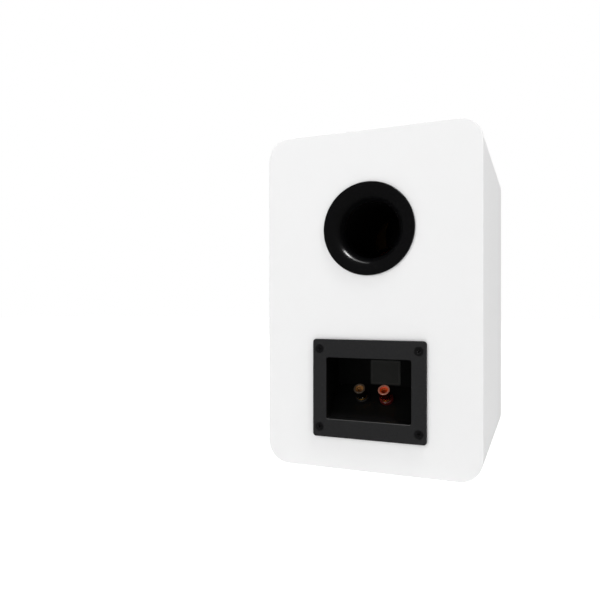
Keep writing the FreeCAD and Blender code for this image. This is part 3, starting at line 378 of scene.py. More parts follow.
def bare_metal(name, colour, roughness, mark_mm=0.6):
    """A plated or bare metal with fine uneven marks that break up its shine."""
    made, tree, shader = finish_named(name, colour, roughness, Metallic=1.0)
    marks = grain(tree, mark_mm, 3.0, 0.6)
    rough = add(tree, "ShaderNodeMapRange", {
        "Value": marks.outputs["Fac"], "To Min": roughness * 0.8, "To Max": min(1.0, roughness * 1.3),
    })
    tree.links.new(rough.outputs["Result"], shader.inputs["Roughness"])
    bump = add(tree, "ShaderNodeBump", {
        "Height": marks.outputs["Fac"], "Strength": 0.15, "Distance": 0.05 * MM,
    })
    tree.links.new(bump.outputs["Normal"], shader.inputs["Normal"])
    return made


def mottled(name, low, high, roughness, cell_mm, height, **sockets):
    """A dull surface that drifts between two colours: powder coat, ferrite, felt, cement or laminate."""
    made, tree, shader = finish_named(name, low, roughness, **sockets)
    cells = grain(tree, cell_mm, 4.0, 0.6)
    mix = add(tree, "ShaderNodeMix", {
        "Factor": cells.outputs["Fac"], 6: srgb(low), 7: srgb(high),
    }, data_type="RGBA")
    tree.links.new(mix.outputs[2], shader.inputs["Base Color"])
    bump = add(tree, "ShaderNodeBump", {
        "Height": cells.outputs["Fac"], "Strength": height, "Distance": 0.20 * MM,
    })
    tree.links.new(bump.outputs["Normal"], shader.inputs["Normal"])
    return made


def woven(name, low, high, thread_mm, roughness, middle_z):
    """Fine plain weave with a dull coating, such as a silk dome or a dipped spider."""
    made, tree, shader = finish_named(name, low, roughness, Sheen_Weight=0.15)
    place = add(tree, "ShaderNodeTexCoord")
    centred = add(tree, "ShaderNodeMapping", {
        "Vector": place.outputs["Object"], "Location": (0, 0, -middle_z * MM),
    })
    axes = add(tree, "ShaderNodeSeparateXYZ", {"Vector": centred.outputs["Vector"]})
    threads = []
    for axis in ("X", "Z"):
        turns = add(tree, "ShaderNodeMath", {
            0: axes.outputs[axis], 1: 2 * math.pi / (thread_mm * MM),
        }, operation="MULTIPLY")
        threads.append(add(tree, "ShaderNodeMath", {0: turns.outputs["Value"]}, operation="SINE"))
    weave = add(tree, "ShaderNodeMath", {
        0: threads[0].outputs["Value"], 1: threads[1].outputs["Value"],
    }, operation="MULTIPLY")
    share = add(tree, "ShaderNodeMapRange", {
        "Value": weave.outputs["Value"], "From Min": -1.0, "From Max": 1.0,
    })
    mix = add(tree, "ShaderNodeMix", {
        "Factor": share.outputs["Result"], 6: srgb(low), 7: srgb(high),
    }, data_type="RGBA")
    tree.links.new(mix.outputs[2], shader.inputs["Base Color"])
    bump = add(tree, "ShaderNodeBump", {
        "Height": share.outputs["Result"], "Strength": 0.4, "Distance": 0.10 * MM,
    })
    tree.links.new(bump.outputs["Normal"], shader.inputs["Normal"])
    return made


def label_film():
    """Matt printed film: a blank dark field inside one thin paler border line."""
    inset, half_line = 1.3, 0.18
    made, tree, shader = finish_named("matt_label_film", "#303130", 0.5)
    place = add(tree, "ShaderNodeTexCoord")
    centred = add(tree, "ShaderNodeMapping", {
        "Vector": place.outputs["Object"], "Location": (-LABEL_MIDDLE[0] * MM, 0, -LABEL_MIDDLE[1] * MM),
    })
    sides = add(tree, "ShaderNodeVectorMath", {0: centred.outputs["Vector"]}, operation="ABSOLUTE")
    half = ((LABEL_SIZE[0] / 2 - inset) * MM, 1.0, (LABEL_SIZE[1] / 2 - inset) * MM)
    past = add(tree, "ShaderNodeVectorMath", {0: sides.outputs["Vector"], 1: half}, operation="SUBTRACT")
    axes = add(tree, "ShaderNodeSeparateXYZ", {"Vector": past.outputs["Vector"]})
    edge = add(tree, "ShaderNodeMath", {0: axes.outputs["X"], 1: axes.outputs["Z"]}, operation="MAXIMUM")
    line = add(tree, "ShaderNodeMath", {
        0: edge.outputs["Value"], 1: 0.0, 2: half_line * MM,
    }, operation="COMPARE")
    cloud = grain(tree, 7.0, 3.0)
    field = add(tree, "ShaderNodeMix", {
        "Factor": cloud.outputs["Fac"], 6: srgb("#282927"), 7: srgb("#31322f"),
    }, data_type="RGBA")
    colour = add(tree, "ShaderNodeMix", {
        "Factor": line.outputs["Value"], 6: field.outputs[2], 7: srgb("#3c3d3a"),
    }, data_type="RGBA")
    tree.links.new(colour.outputs[2], shader.inputs["Base Color"])
    return made


def wound_copper(name, axis, wire_mm):
    """Enamelled copper wire wound side by side: a warm metal with one ridge for each turn along axis, painted
    darker in the grooves between turns as shade.
    """
    made, tree, shader = finish_named(name, "#a4522a", 0.3, Metallic=1.0)
    place = add(tree, "ShaderNodeTexCoord")
    axes = add(tree, "ShaderNodeSeparateXYZ", {"Vector": place.outputs["Object"]})
    turns = add(tree, "ShaderNodeMath", {
        0: axes.outputs[axis], 1: math.pi / (wire_mm * MM),
    }, operation="MULTIPLY")
    wave = add(tree, "ShaderNodeMath", {0: turns.outputs["Value"]}, operation="SINE")
    ridge = add(tree, "ShaderNodeMath", {0: wave.outputs["Value"]}, operation="ABSOLUTE")
    # painted shade: darker in the grooves between turns, paler on the crests
    tone = add(tree, "ShaderNodeMix", {
        "Factor": ridge.outputs["Value"], 6: srgb("#6d3218"), 7: srgb("#b9623a"),
    }, data_type="RGBA")
    tree.links.new(tone.outputs[2], shader.inputs["Base Color"])
    bump = add(tree, "ShaderNodeBump", {
        "Height": ridge.outputs["Value"], "Strength": 0.8, "Distance": wire_mm / 3 * MM,
    })
    tree.links.new(bump.outputs["Normal"], shader.inputs["Normal"])
    return made


def lugged_board(name, board_end_y):
    """Brown phenolic paper board as far back as board_end_y, in millimetres, and tinned brass lugs beyond."""
    made, tree, shader = finish_named(name, "#5d3f1e", 0.55)
    place = add(tree, "ShaderNodeTexCoord")
    axes = add(tree, "ShaderNodeSeparateXYZ", {"Vector": place.outputs["Object"]})
    metal = add(tree, "ShaderNodeMath", {0: axes.outputs["Y"], 1: board_end_y * MM}, operation="GREATER_THAN")
    fibres = grain(tree, 1.5, 3.0)
    board = add(tree, "ShaderNodeMix", {
        "Factor": fibres.outputs["Fac"], 6: srgb("#54381a"), 7: srgb("#6e4c26"),
    }, data_type="RGBA")
    colour = add(tree, "ShaderNodeMix", {
        "Factor": metal.outputs["Value"], 6: board.outputs[2], 7: srgb(TIN_COLOUR),
    }, data_type="RGBA")
    tree.links.new(colour.outputs[2], shader.inputs["Base Color"])
    tree.links.new(metal.outputs["Value"], shader.inputs["Metallic"])
    rough = add(tree, "ShaderNodeMapRange", {"Value": metal.outputs["Value"], "To Min": 0.6, "To Max": 0.3})
    tree.links.new(rough.outputs["Result"], shader.inputs["Roughness"])
    return made


LACQUER = lacquered_fibreboard()
GLOSS_ABS = gloss_abs()
TERMINAL_ABS = terminal_abs()
GOLD = gold_plate()
# the sockets' colours are painted light and shade in the bore: red on the positive as painted glow from its
# red cap, brown on the negative
STUD_GOLD = {
    "positive": stud_with_painted_socket("positive_stud_gold", "#a8380a", POST_X["positive"]),
    "negative": stud_with_painted_socket("negative_stud_gold", "#8c6036", POST_X["negative"]),
}
# tinted polycarbonate: see-through red and smoke-brown caps
CLEAR_RED = clear_polycarbonate("clear_red_polycarbonate", "#8a1c16", "#8a5646")
CLEAR_SMOKE = clear_polycarbonate("clear_smoke_polycarbonate", "#3c362e", "#362c22")
# the same plastic in the solid, under the caps: dark red with a soft shine, and a dull black
RED_BASE = mottled("dark_red_polycarbonate", "#360908", "#400c0a", 0.3, 1.5, 0.08)
BLACK_BASE = mottled("black_polycarbonate", "#070707", "#0a0a0a", 0.55, 1.5, 0.08, Specular_IOR_Level=0.2)
# lacquered ends of the cap nuts: the red hides the metal, the bronze lets it glow through
RED_END = colour_ended_nut("red_ended_gold_nut", "#a83208", 0.0)
BRONZE_END = colour_ended_nut("bronze_ended_gold_nut", "#7a5228", 0.4)
# black oxide on steel: nearly black, a dull metal sheen
BLACK_OXIDE = satin_black("black_oxide_steel", "#101011", 0.38, 0.3, 0.15)
# black plastics and rubber: tube, trim and cone hold a soft highlight, nylon and butyl spread theirs wider
TUBE_PLASTIC = satin_black("extruded_black_tube", "#0d0d0e", 0.45, 1.0, 0.2)
TRIM_ABS = satin_black("satin_black_abs", "#141415", 0.42, 0.4, 0.25)
CONE_POLY = satin_black("filled_polypropylene", "#1b1b1d", 0.42, 0.7, 0.3)
NYLON = satin_black("black_nylon", "#161616", 0.5, 0.8, 0.2)
BUTYL = satin_black("moulded_butyl_rubber", "#121212", 0.55, 0.9, 0.25)
# closed-cell foam: a dead matt black full of small pits
FOAM = mottled("closed_cell_foam", "#131313", "#1e1e1e", 0.9, 0.6, 0.5)
LABEL_FILM = label_film()
# powder coat and ferrite: a fine pebbled black, and a dark grey stone without shine
POWDER_COAT = mottled("black_powder_coat", "#111112", "#1a1a1b", 0.5, 0.5, 0.35)
FERRITE = mottled("sintered_ferrite", "#1c1c1e", "#29292c", 0.7, 1.5, 0.3)
# needled polyester: soft off-white with tufts a few millimetres across
WADDING = mottled("polyester_wadding", "#c9c7c0", "#e9e7e1", 0.95, 3.0, 0.9)
# crossover parts: brown laminate, chalky cement and a smooth yellow wrap
BOARD = mottled("phenolic_board", "#6b4a22", "#7d5a2c", 0.6, 2.0, 0.15)
CEMENT = mottled("white_cement_body", "#d8d6cc", "#e6e4dc", 0.8, 0.8, 0.35)
FILM_CAP = mottled("yellow_film_wrap", "#c99a1c", "#d8ab2a", 0.3, 4.0, 0.05)
# soft PVC on the wires: an even colour with a waxy shine
RED_PVC = mottled("red_pvc_insulation", "#8e1410", "#9c1a14", 0.45, 2.0, 0.1)
BLACK_PVC = mottled("black_pvc_insulation", "#141414", "#1c1c1c", 0.45, 2.0, 0.1)
# bare metals: zinc is a cool satin grey, tin warmer and brighter, foil the shiniest
ZINC = bare_metal("zinc_plated_steel", "#a9aaa6", 0.35)
TINNED = bare_metal("tinned_brass", TIN_COLOUR, 0.3)
FOIL = bare_metal("aluminium_foil_former", "#c4c5c6", 0.25, 0.4)
# a braid's strands are too fine to model, so their glints are a mottle of 0.35 mm
BRAID = mottled("tinned_copper_braid", "#8f8b80", "#c4c0b4", 0.4, 0.35, 0.8, Metallic=1.0)
# enamelled copper: ridged orange-brown metal with painted shade in the grooves, finer on the voice coils than
# on the inductors
COIL_WIRE = wound_copper("voice_coil_wire", "Y", 0.3)
CHOKE_WIRE = wound_copper("inductor_wire", "Z", 0.9)
WOOFER_STRIP = lugged_board("woofer_terminal_board", WOOFER_BOARD_END_Y)
TWEETER_STRIP = lugged_board("tweeter_terminal_board", TWEETER_BOARD_END_Y)
# threads drawn coarser than the real ones, so that the weave shows: a soft black silk and stiff amber cotton
SILK = woven("coated_silk", "#141416", "#232326", 0.35, 0.6, TWEETER_Z)
SPIDER_CLOTH = woven("dipped_cotton", "#8d5f24", "#b98440", 0.6, 0.8, WOOFER_Z)

CAD_FINISH = {
    "top_panel": LACQUER, "bottom_panel": LACQUER, "left_panel": LACQUER, "right_panel": LACQUER,
    "corner_blocks": LACQUER, "front_baffle": LACQUER, "rear_panel": LACQUER, "wadding_pads": WADDING,
    "port_flare": GLOSS_ABS, "port_tube": TUBE_PLASTIC,
    "terminal_cup": TERMINAL_ABS, "terminal_gasket": FOAM, "terminal_screws": BLACK_OXIDE,
    "rating_label": LABEL_FILM, "post_bushings": NYLON, "post_nuts": ZINC, "post_solder_tabs": TINNED,
    "post_shaft_positive": STUD_GOLD["positive"], "post_shaft_negative": STUD_GOLD["negative"],
    "post_collar_positive": RED_BASE, "post_collar_negative": BLACK_BASE,
    "clamp_washer_positive": GOLD, "clamp_washer_negative": GOLD,
    "cap_nut_positive": RED_END, "cap_nut_negative": BRONZE_END,
    "cap_shell_positive": CLEAR_RED, "cap_shell_negative": CLEAR_SMOKE,
    "woofer_basket": POWDER_COAT, "woofer_gasket": FOAM, "woofer_trim_ring": TRIM_ABS,
    "woofer_screws": BLACK_OXIDE, "woofer_surround": BUTYL, "woofer_cone": CONE_POLY,
    "woofer_dust_cap": CONE_POLY, "voice_coil_former": FOIL, "voice_coil_winding": COIL_WIRE,
    "woofer_spider": SPIDER_CLOTH, "woofer_top_plate": ZINC, "woofer_magnet": FERRITE, "woofer_yoke": ZINC,
    "woofer_terminal_strip": WOOFER_STRIP, "woofer_tinsel_leads": TINNED,
    "tweeter_faceplate": TRIM_ABS, "tweeter_gasket": FOAM, "tweeter_screws": BLACK_OXIDE,
    "tweeter_dome": SILK, "tweeter_surround": SILK, "tweeter_voice_coil": COIL_WIRE,
    "tweeter_top_plate": ZINC, "tweeter_magnet": FERRITE, "tweeter_yoke": ZINC,
    "tweeter_terminals": TWEETER_STRIP,
    "crossover_board": BOARD, "crossover_fixings": ZINC, "inductor_bobbins": NYLON,
    "inductor_windings": CHOKE_WIRE, "crossover_capacitors": FILM_CAP, "crossover_resistors": CEMENT,
    "wires_positive": RED_PVC, "wires_negative": BLACK_PVC,
}
for node_name, finish in CAD_FINISH.items():
    frame["nodes"][node_name].material_slots[0].material = finish


# ------------------------------------------------------------------ helpers for shapes
def placed_mesh(name, bm, place, finish):
    """An object at the origin whose mesh is bm moved by place, smooth but for its sharp edges."""
    bmesh.ops.remove_doubles(bm, verts=bm.verts, dist=1e-7)
    bmesh.ops.recalc_face_normals(bm, faces=bm.faces)
    bm.transform(place)
    for face in bm.faces:
        face.smooth = True
    for edge in bm.edges:
        edge.smooth = edge.calc_face_angle(0.0) < math.radians(35)
    mesh = bpy.data.meshes.new(name)
    bm.to_mesh(mesh)
    bm.free()
    mesh.materials.append(finish)
    made = bpy.data.objects.new(name, mesh)
    bpy.context.scene.collection.objects.link(made)
    return made


def lathe(name, outline, steps, finish, place=Matrix.Identity(4)):
    """Turns a closed outline of (radius, height) points, in millimetres, round the local Z axis."""
    bm = bmesh.new()
    rings = []
    for radius, height in outline:
        if radius < 1e-6:
            rings.append([bm.verts.new((0, 0, height * MM))] * steps)
            continue
        angles = [2 * math.pi * i / steps for i in range(steps)]
        rings.append([
            bm.verts.new((radius * MM * math.cos(a), radius * MM * math.sin(a), height * MM)) for a in angles
        ])
    for this, following in zip(rings, rings[1:] + rings[:1]):
        for i in range(steps):
            j = (i + 1) % steps
            corners = list(dict.fromkeys([this[i], this[j], following[j], following[i]]))
            if len(corners) > 2:
                bm.faces.new(corners)
    return placed_mesh(name, bm, place, finish)


def arc(first, through, last, parts):
    """Points on the arc from first by way of through to last, without first."""
    (ax, ay), (bx, by), (cx, cy) = first, through, last
    d = 2 * (ax * (by - cy) + bx * (cy - ay) + cx * (ay - by))
    a2, b2, c2 = ax * ax + ay * ay, bx * bx + by * by, cx * cx + cy * cy
    ux = (a2 * (by - cy) + b2 * (cy - ay) + c2 * (ay - by)) / d
    uy = (a2 * (cx - bx) + b2 * (ax - cx) + c2 * (bx - ax)) / d
    turn = [math.atan2(y - uy, x - ux) for x, y in (first, through, last)]
    sweep = (turn[2] - turn[0]) % (2 * math.pi)
    if (turn[1] - turn[0]) % (2 * math.pi) > sweep:
        sweep -= 2 * math.pi
    radius = math.hypot(ax - ux, ay - uy)
    angles = [turn[0] + sweep * (i + 1) / parts for i in range(parts)]
    return [(ux + radius * math.cos(a), uy + radius * math.sin(a)) for a in angles]


def stretch(first, last, parts):
    """Even points from first to last, both left in."""
    return [tuple(a + (b - a) * i / parts for a, b in zip(first, last)) for i in range(parts + 1)]


def copy_of(node, name, finish):
    """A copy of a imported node's mesh, with its loose triangles joined."""
    bm = bmesh.new()
    bm.from_mesh(frame["nodes"][node].data)
    return placed_mesh(name, bm, Matrix.Identity(4), finish)


def kept_mesh(piece):
    """Puts what the piece's modifiers give in place of its mesh, and takes the modifiers off."""
    graph = bpy.context.evaluated_depsgraph_get()
    mesh = bpy.data.meshes.new_from_object(piece.evaluated_get(graph))
    piece.modifiers.clear()
    piece.data = mesh


def carved(piece, cutter):
    """Takes the cutter's space out of the piece."""
    saw = piece.modifiers.new("saw", "BOOLEAN")
    saw.object = cutter
    saw.operation = "DIFFERENCE"
    saw.solver = "EXACT"
    kept_mesh(piece)
    bpy.data.objects.remove(cutter)


def new_tree(name, sockets):
    """A geometry node tree with one mesh in and out, and its named inputs."""
    tree = bpy.data.node_groups.new(name, "GeometryNodeTree")
    tree.interface.new_socket(name="Geometry", in_out="INPUT", socket_type="NodeSocketGeometry")
    for label, kind in sockets.items():
        tree.interface.new_socket(name=label, in_out="INPUT", socket_type="NodeSocket" + kind)
    tree.interface.new_socket(name="Geometry", in_out="OUTPUT", socket_type="NodeSocketGeometry")
    return tree, add(tree, "NodeGroupInput").outputs


def run_tree(piece, tree, values):
    """Gives the piece the mesh that the tree makes of it with these input values."""
    grow = piece.modifiers.new(tree.name, "NODES")
    grow.node_group = tree
    for socket in tree.interface.items_tree:
        if socket.in_out == "INPUT" and socket.name in values:
            grow[socket.identifier] = values[socket.name]
    kept_mesh(piece)


# ------------------------------------------------------------------ geometry node trees
def groove_tree():
    """Cuts grooves into a turned piece: around it for a thread, along it for a finger grip."""
    tree, given = new_tree("cut_grooves", {
        "Per Metre": "Float", "Per Turn": "Float", "Depth": "Float", "Low": "Float", "High": "Float",
        "Fade": "Float", "Least Radius": "Float", "Finish": "Material",
    })
    place = add(tree, "GeometryNodeInputPosition")
    axes = add(tree, "ShaderNodeSeparateXYZ", {"Vector": place.outputs["Position"]})
    angle = add(tree, "ShaderNodeMath", {0: axes.outputs["Y"], 1: axes.outputs["X"]}, operation="ARCTAN2")
    turned = add(tree, "ShaderNodeMath", {0: angle.outputs[0], 1: 2 * math.pi}, operation="DIVIDE")
    around = add(tree, "ShaderNodeMath", {0: turned.outputs[0], 1: given["Per Turn"]}, operation="MULTIPLY")
    phase = add(tree, "ShaderNodeMath", {
        0: axes.outputs["Z"], 1: given["Per Metre"], 2: around.outputs[0],
    }, operation="MULTIPLY_ADD")
    saw = add(tree, "ShaderNodeMath", {0: phase.outputs[0]}, operation="FRACT")
    from_middle = add(tree, "ShaderNodeMath", {0: saw.outputs[0], 1: 0.5}, operation="SUBTRACT")
    ramp = add(tree, "ShaderNodeMath", {0: from_middle.outputs[0]}, operation="ABSOLUTE")
    share = add(tree, "ShaderNodeMapRange", {
        "Value": ramp.outputs[0], "From Min": 0.08, "From Max": 0.42, "To Min": 1.0, "To Max": 0.0,
    }, interpolation_type="SMOOTHSTEP")
    low_end = add(tree, "ShaderNodeMath", {0: given["Low"], 1: given["Fade"]}, operation="ADD")
    high_start = add(tree, "ShaderNodeMath", {0: given["High"], 1: given["Fade"]}, operation="SUBTRACT")
    rise = add(tree, "ShaderNodeMapRange", {
        "Value": axes.outputs["Z"], "From Min": given["Low"], "From Max": low_end.outputs[0],
    })
    fall = add(tree, "ShaderNodeMapRange", {
        "Value": axes.outputs["Z"], "From Min": high_start.outputs[0], "From Max": given["High"],
        "To Min": 1.0, "To Max": 0.0,
    })
    within = add(tree, "ShaderNodeMath", {0: rise.outputs[0], 1: fall.outputs[0]}, operation="MULTIPLY")
    cut = add(tree, "ShaderNodeMath", {0: share.outputs[0], 1: within.outputs[0]}, operation="MULTIPLY")
    inward = add(tree, "ShaderNodeMath", {0: given["Depth"], 1: -1.0}, operation="MULTIPLY")
    size = add(tree, "ShaderNodeMath", {0: cut.outputs[0], 1: inward.outputs[0]}, operation="MULTIPLY")
    flat = add(tree, "ShaderNodeVectorMath", {
        0: place.outputs["Position"], 1: (1, 1, 0),
    }, operation="MULTIPLY")
    radius = add(tree, "ShaderNodeVectorMath", {0: flat.outputs["Vector"]}, operation="LENGTH")
    outside = add(tree, "FunctionNodeCompare", {
        0: radius.outputs["Value"], 1: given["Least Radius"],
    }, operation="GREATER_THAN")
    way = add(tree, "ShaderNodeVectorMath", {0: flat.outputs["Vector"]}, operation="NORMALIZE")
    shift = add(tree, "ShaderNodeVectorMath", {
        0: way.outputs["Vector"], "Scale": size.outputs[0],
    }, operation="SCALE")
    moved = add(tree, "GeometryNodeSetPosition", {
        "Geometry": given["Geometry"], "Selection": outside.outputs[0], "Offset": shift.outputs["Vector"],
    })
    real = add(tree, "GeometryNodeRealizeInstances", {"Geometry": moved.outputs[0]})
    painted = add(tree, "GeometryNodeSetMaterial", {"Geometry": real.outputs[0], "Material": given["Finish"]})
    add(tree, "NodeGroupOutput", {"Geometry": painted.outputs[0]})
    return tree


def screw_tree():
    """Sets a screw on every point, leaning by Lean about X, each turned by its own amount."""
    tree, given = new_tree("set_screws", {
        "Screw": "Object", "Lean": "Float", "Seed": "Int", "Finish": "Material",
    })
    screw = add(tree, "GeometryNodeObjectInfo", {"Object": given["Screw"]})
    lean = add(tree, "ShaderNodeCombineXYZ", {"X": given["Lean"]})
    standing = add(tree, "GeometryNodeInstanceOnPoints", {
        "Points": given["Geometry"], "Instance": screw.outputs["Geometry"],
        "Rotation": lean.outputs["Vector"],
    })
    own_turn = add(tree, "FunctionNodeRandomValue", {
        2: 0.0, 3: math.pi / 2, "Seed": given["Seed"],
    }, data_type="FLOAT")
    spin = add(tree, "ShaderNodeCombineXYZ", {"Z": own_turn.outputs[1]})
    turned = add(tree, "GeometryNodeRotateInstances", {
        "Instances": standing.outputs[0], "Rotation": spin.outputs["Vector"],
    })
    real = add(tree, "GeometryNodeRealizeInstances", {"Geometry": turned.outputs[0]})
    painted = add(tree, "GeometryNodeSetMaterial", {"Geometry": real.outputs[0], "Material": given["Finish"]})
    add(tree, "NodeGroupOutput", {"Geometry": painted.outputs[0]})
    return tree


def fluff_tree():
    """Sinks a felted surface by an uneven amount, as loose fibres do."""
    tree, given = new_tree("uneven_felt", {"Depth": "Float", "Tuft": "Float", "Finish": "Material"})
    facing = add(tree, "GeometryNodeInputNormal")
    clumps = add(tree, "ShaderNodeTexNoise", {"Scale": given["Tuft"], "Detail": 3.0})
    inward = add(tree, "ShaderNodeMath", {0: given["Depth"], 1: -1.0}, operation="MULTIPLY")
    size = add(tree, "ShaderNodeMath", {0: clumps.outputs[0], 1: inward.outputs[0]}, operation="MULTIPLY")
    shift = add(tree, "ShaderNodeVectorMath", {
        0: facing.outputs[0], "Scale": size.outputs[0],
    }, operation="SCALE")
    moved = add(tree, "GeometryNodeSetPosition", {
        "Geometry": given["Geometry"], "Offset": shift.outputs["Vector"],
    })
    real = add(tree, "GeometryNodeRealizeInstances", {"Geometry": moved.outputs[0]})
    painted = add(tree, "GeometryNodeSetMaterial", {"Geometry": real.outputs[0], "Material": given["Finish"]})
    add(tree, "NodeGroupOutput", {"Geometry": painted.outputs[0]})
    return tree


GROOVES = groove_tree()
SCREWS = screw_tree()
FLUFF = fluff_tree()


# ------------------------------------------------------------------ screws
def cross_recess_arm(turn):
    """One tapered arm of the driver's recess, across the head at this turn in degrees."""
    bm = bmesh.new()
    corners = []
    for half_long, half_wide, height in ((2.1, 0.42, 0.3), (0.75, 0.26, -1.5)):
        for sx, sy in ((-1, -1), (1, -1), (1, 1), (-1, 1)):
            corners.append(bm.verts.new((sx * half_long * MM, sy * half_wide * MM, height * MM)))
    bmesh.ops.convex_hull(bm, input=corners)
    return placed_mesh("recess_arm", bm, Matrix.Rotation(math.radians(turn), 4, "Z"), BLACK_OXIDE)


def countersunk_screw():
    """A countersunk wood screw whose head's face is at height 0, pointing down the local Z axis."""
    head, shank, tip = SCREW_HEAD_RADIUS, 1.7, -SCREW_LENGTH
    pitch, thread_depth, thread_low, thread_high = 1.3, 0.45, tip + 3.4, -2.4
    outline = [(0, -0.12), (1.5, -0.10), (head - 0.35, -0.02), (head - 0.15, -0.03), (head, -0.18)]
    outline += [(shank, -SCREW_HEAD_DEPTH)] + stretch((shank, -2.2), (shank, thread_low), 40) + [(0, tip)]
    screw = lathe("screw", outline, 36, BLACK_OXIDE)
    run_tree(screw, GROOVES, {
        "Per Metre": 1 / (pitch * MM), "Per Turn": -1.0, "Depth": thread_depth * MM,
        "Low": thread_low * MM, "High": thread_high * MM,
        "Fade": 0.4 * MM, "Least Radius": 1.6 * MM, "Finish": BLACK_OXIDE,
    })
    for turn in (0, 90):
        carved(screw, cross_recess_arm(turn))
    return screw


def screw_set(node, spots, lean, seed):
    """The screws of one node, at their head centres, as one piece."""
    mesh = bpy.data.meshes.new(node + "_set")
    mesh.from_pydata([[c * MM for c in spot] for spot in spots], [], [])
    piece = bpy.data.objects.new(node + "_set", mesh)
    bpy.context.scene.collection.objects.link(piece)
    run_tree(piece, SCREWS, {"Screw": SCREW, "Lean": math.radians(lean), "Seed": seed, "Finish": BLACK_OXIDE})
    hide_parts(node)
    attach(piece, "cabinet")


def round_spots(count, radius, start, y, middle_z):
    """Head centres spaced evenly on a circle in the front face."""
    turns = [math.radians(start + 360 * i / count) for i in range(count)]
    return [(radius * math.cos(t), y, middle_z + radius * math.sin(t)) for t in turns]


SCREW = countersunk_screw()
screw_set("terminal_screws", [(x, FRAME_FACE_Y, z) for x, z in CUP_SCREWS], lean=-90, seed=3)
woofer_spots = round_spots(6, WOOFER_SCREW_CIRCLE, 30, WOOFER_SCREW_FACE_Y, WOOFER_Z)
screw_set("woofer_screws", woofer_spots, lean=90, seed=5)
tweeter_spots = round_spots(4, TWEETER_SCREW_CIRCLE, 45, FRONT_Y - FACEPLATE_PROUD, TWEETER_Z)
screw_set("tweeter_screws", tweeter_spots, lean=90, seed=8)
bpy.data.objects.remove(SCREW)


# ------------------------------------------------------------------ binding posts
def post_frame(sign):
    """The frame of one post: its local Z axis leaves the ramp, which is at height 0."""
    seat = Matrix.Translation((POST_X[sign] * MM, POST_SEAT[0] * MM, POST_SEAT[1] * MM))
    return seat @ Matrix.Rotation(math.radians(RAMP_TILT - 90), 4, "X")


def threaded_stud(sign):
    """The gold stud: a shoulder over the collar, a rolled thread each side, a plug socket and a wire hole."""
    low, shoulder, top = -13.0, 3.0, 11.4
    bore, bore_depth, crest = 2.05, 20.0, 3.0
    rim, rim_high = 4.2, shoulder + 0.6
    wire_radius, wire_height = 1.25, 6.05
    outline = [(0, low), (crest - 0.3, low)] + stretch((crest, low + 0.3), (crest, -0.4), 90)
    outline += [(crest, shoulder), (rim - 0.2, shoulder), (rim, shoulder + 0.15), (rim, rim_high - 0.15)]
    outline += [(rim - 0.2, rim_high)] + stretch((crest, rim_high), (crest, top - 0.25), 66)
    outline += [(crest - 0.25, top), (bore + 0.25, top), (bore, top - 0.25)]
    outline += [(bore, top - bore_depth), (0, top - bore_depth)]
    gold = STUD_GOLD[sign]
    stud = lathe("post_stud_" + sign, outline, 72, gold)
    for start, end in ((low, -0.4), (shoulder + 0.7, top)):
        run_tree(stud, GROOVES, {
            "Per Metre": 1 / (POST_THREAD_PITCH * MM), "Per Turn": -1.0, "Depth": 0.4 * MM,
            "Low": start * MM, "High": end * MM, "Fade": 0.3 * MM, "Least Radius": 2.9 * MM, "Finish": gold,
        })
    drill = [(0, -7), (wire_radius, -7), (wire_radius, 7), (0, 7)]
    crossing = Matrix.Translation((0, 0, wire_height * MM)) @ Matrix.Rotation(math.pi / 2, 4, "Y")
    carved(stud, lathe("wire_hole", drill, 32, gold, crossing))
    stud.data.transform(post_frame(sign))
    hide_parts("post_shaft_" + sign)
    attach(stud, "cabinet")


def base_collar(sign, finish):
    """The coloured base ring, with a softly rounded rim."""
    inner, outer, high = 3.05, 5.5, 3.0
    rounding, inset = 0.8, 0.234
    outline = [(inner, 0), (outer, 0), (outer, high - rounding)]
    outline += arc((outer, high - rounding), (outer - inset, high - inset), (outer - rounding, high), 8)
    outline += [(inner + 0.2, high), (inner, high - 0.2)]
    collar = lathe("base_collar_" + sign, outline, 96, finish, post_frame(sign))
    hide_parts("post_collar_" + sign)
    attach(collar, "cabinet")


def clamp_washer(sign):
    """The loose gold washer that presses on a bare wire, with rounded rims."""
    inner, outer, low, high = 3.05, 4.5, 3.6, 4.4
    rounding, inset = 0.45, 0.132
    outline = [(inner, low), (outer - 0.2, low), (outer, low + 0.2), (outer, high - rounding)]
    outline += arc((outer, high - rounding), (outer - inset, high - inset), (outer - rounding, high), 7)
    outline += [(inner + 0.15, high), (inner, high - 0.15)]
    washer = lathe("pressing_washer_" + sign, outline, 96, GOLD, post_frame(sign))
    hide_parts("clamp_washer_" + sign)
    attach(washer, "washer_" + sign)


def cap_grip(sign, finish):
    """The clear grip over the cap's nut: twenty finger grooves and a window that shows the gold end."""
    low, high, inner, outer = 5.3, 13.8, 4.05, 4.75
    window, lid = 3.3, 1.2
    rounding, inset = 0.5, 0.146
    window_rounding, window_inset = 0.25, 0.073
    outline = [(inner, low), (outer - 0.2, low), (outer, low + 0.2)]
    outline += stretch((outer, low + 0.5), (outer, high - 0.7), 30)
    outline += arc((outer, high - rounding), (outer - inset, high - inset), (outer - rounding, high), 6)
    outline += [(window + window_rounding, high)]
    lip_middle = (window + window_inset, high - window_inset)
    outline += arc(outline[-1], lip_middle, (window, high - window_rounding), 3)
    outline += [(window, high - lid), (inner, high - lid)]
    grip = lathe("cap_grip_" + sign, outline, 240, finish)
    run_tree(grip, GROOVES, {
        "Per Metre": 0.0, "Per Turn": 20.0, "Depth": 0.28 * MM,
        "Low": (low + 0.8) * MM, "High": (high - 0.7) * MM,
        "Fade": 0.7 * MM, "Least Radius": 4.6 * MM, "Finish": finish,
    })
    grip.data.transform(post_frame(sign))
    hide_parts("cap_shell_" + sign)
    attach(grip, "cap_" + sign)


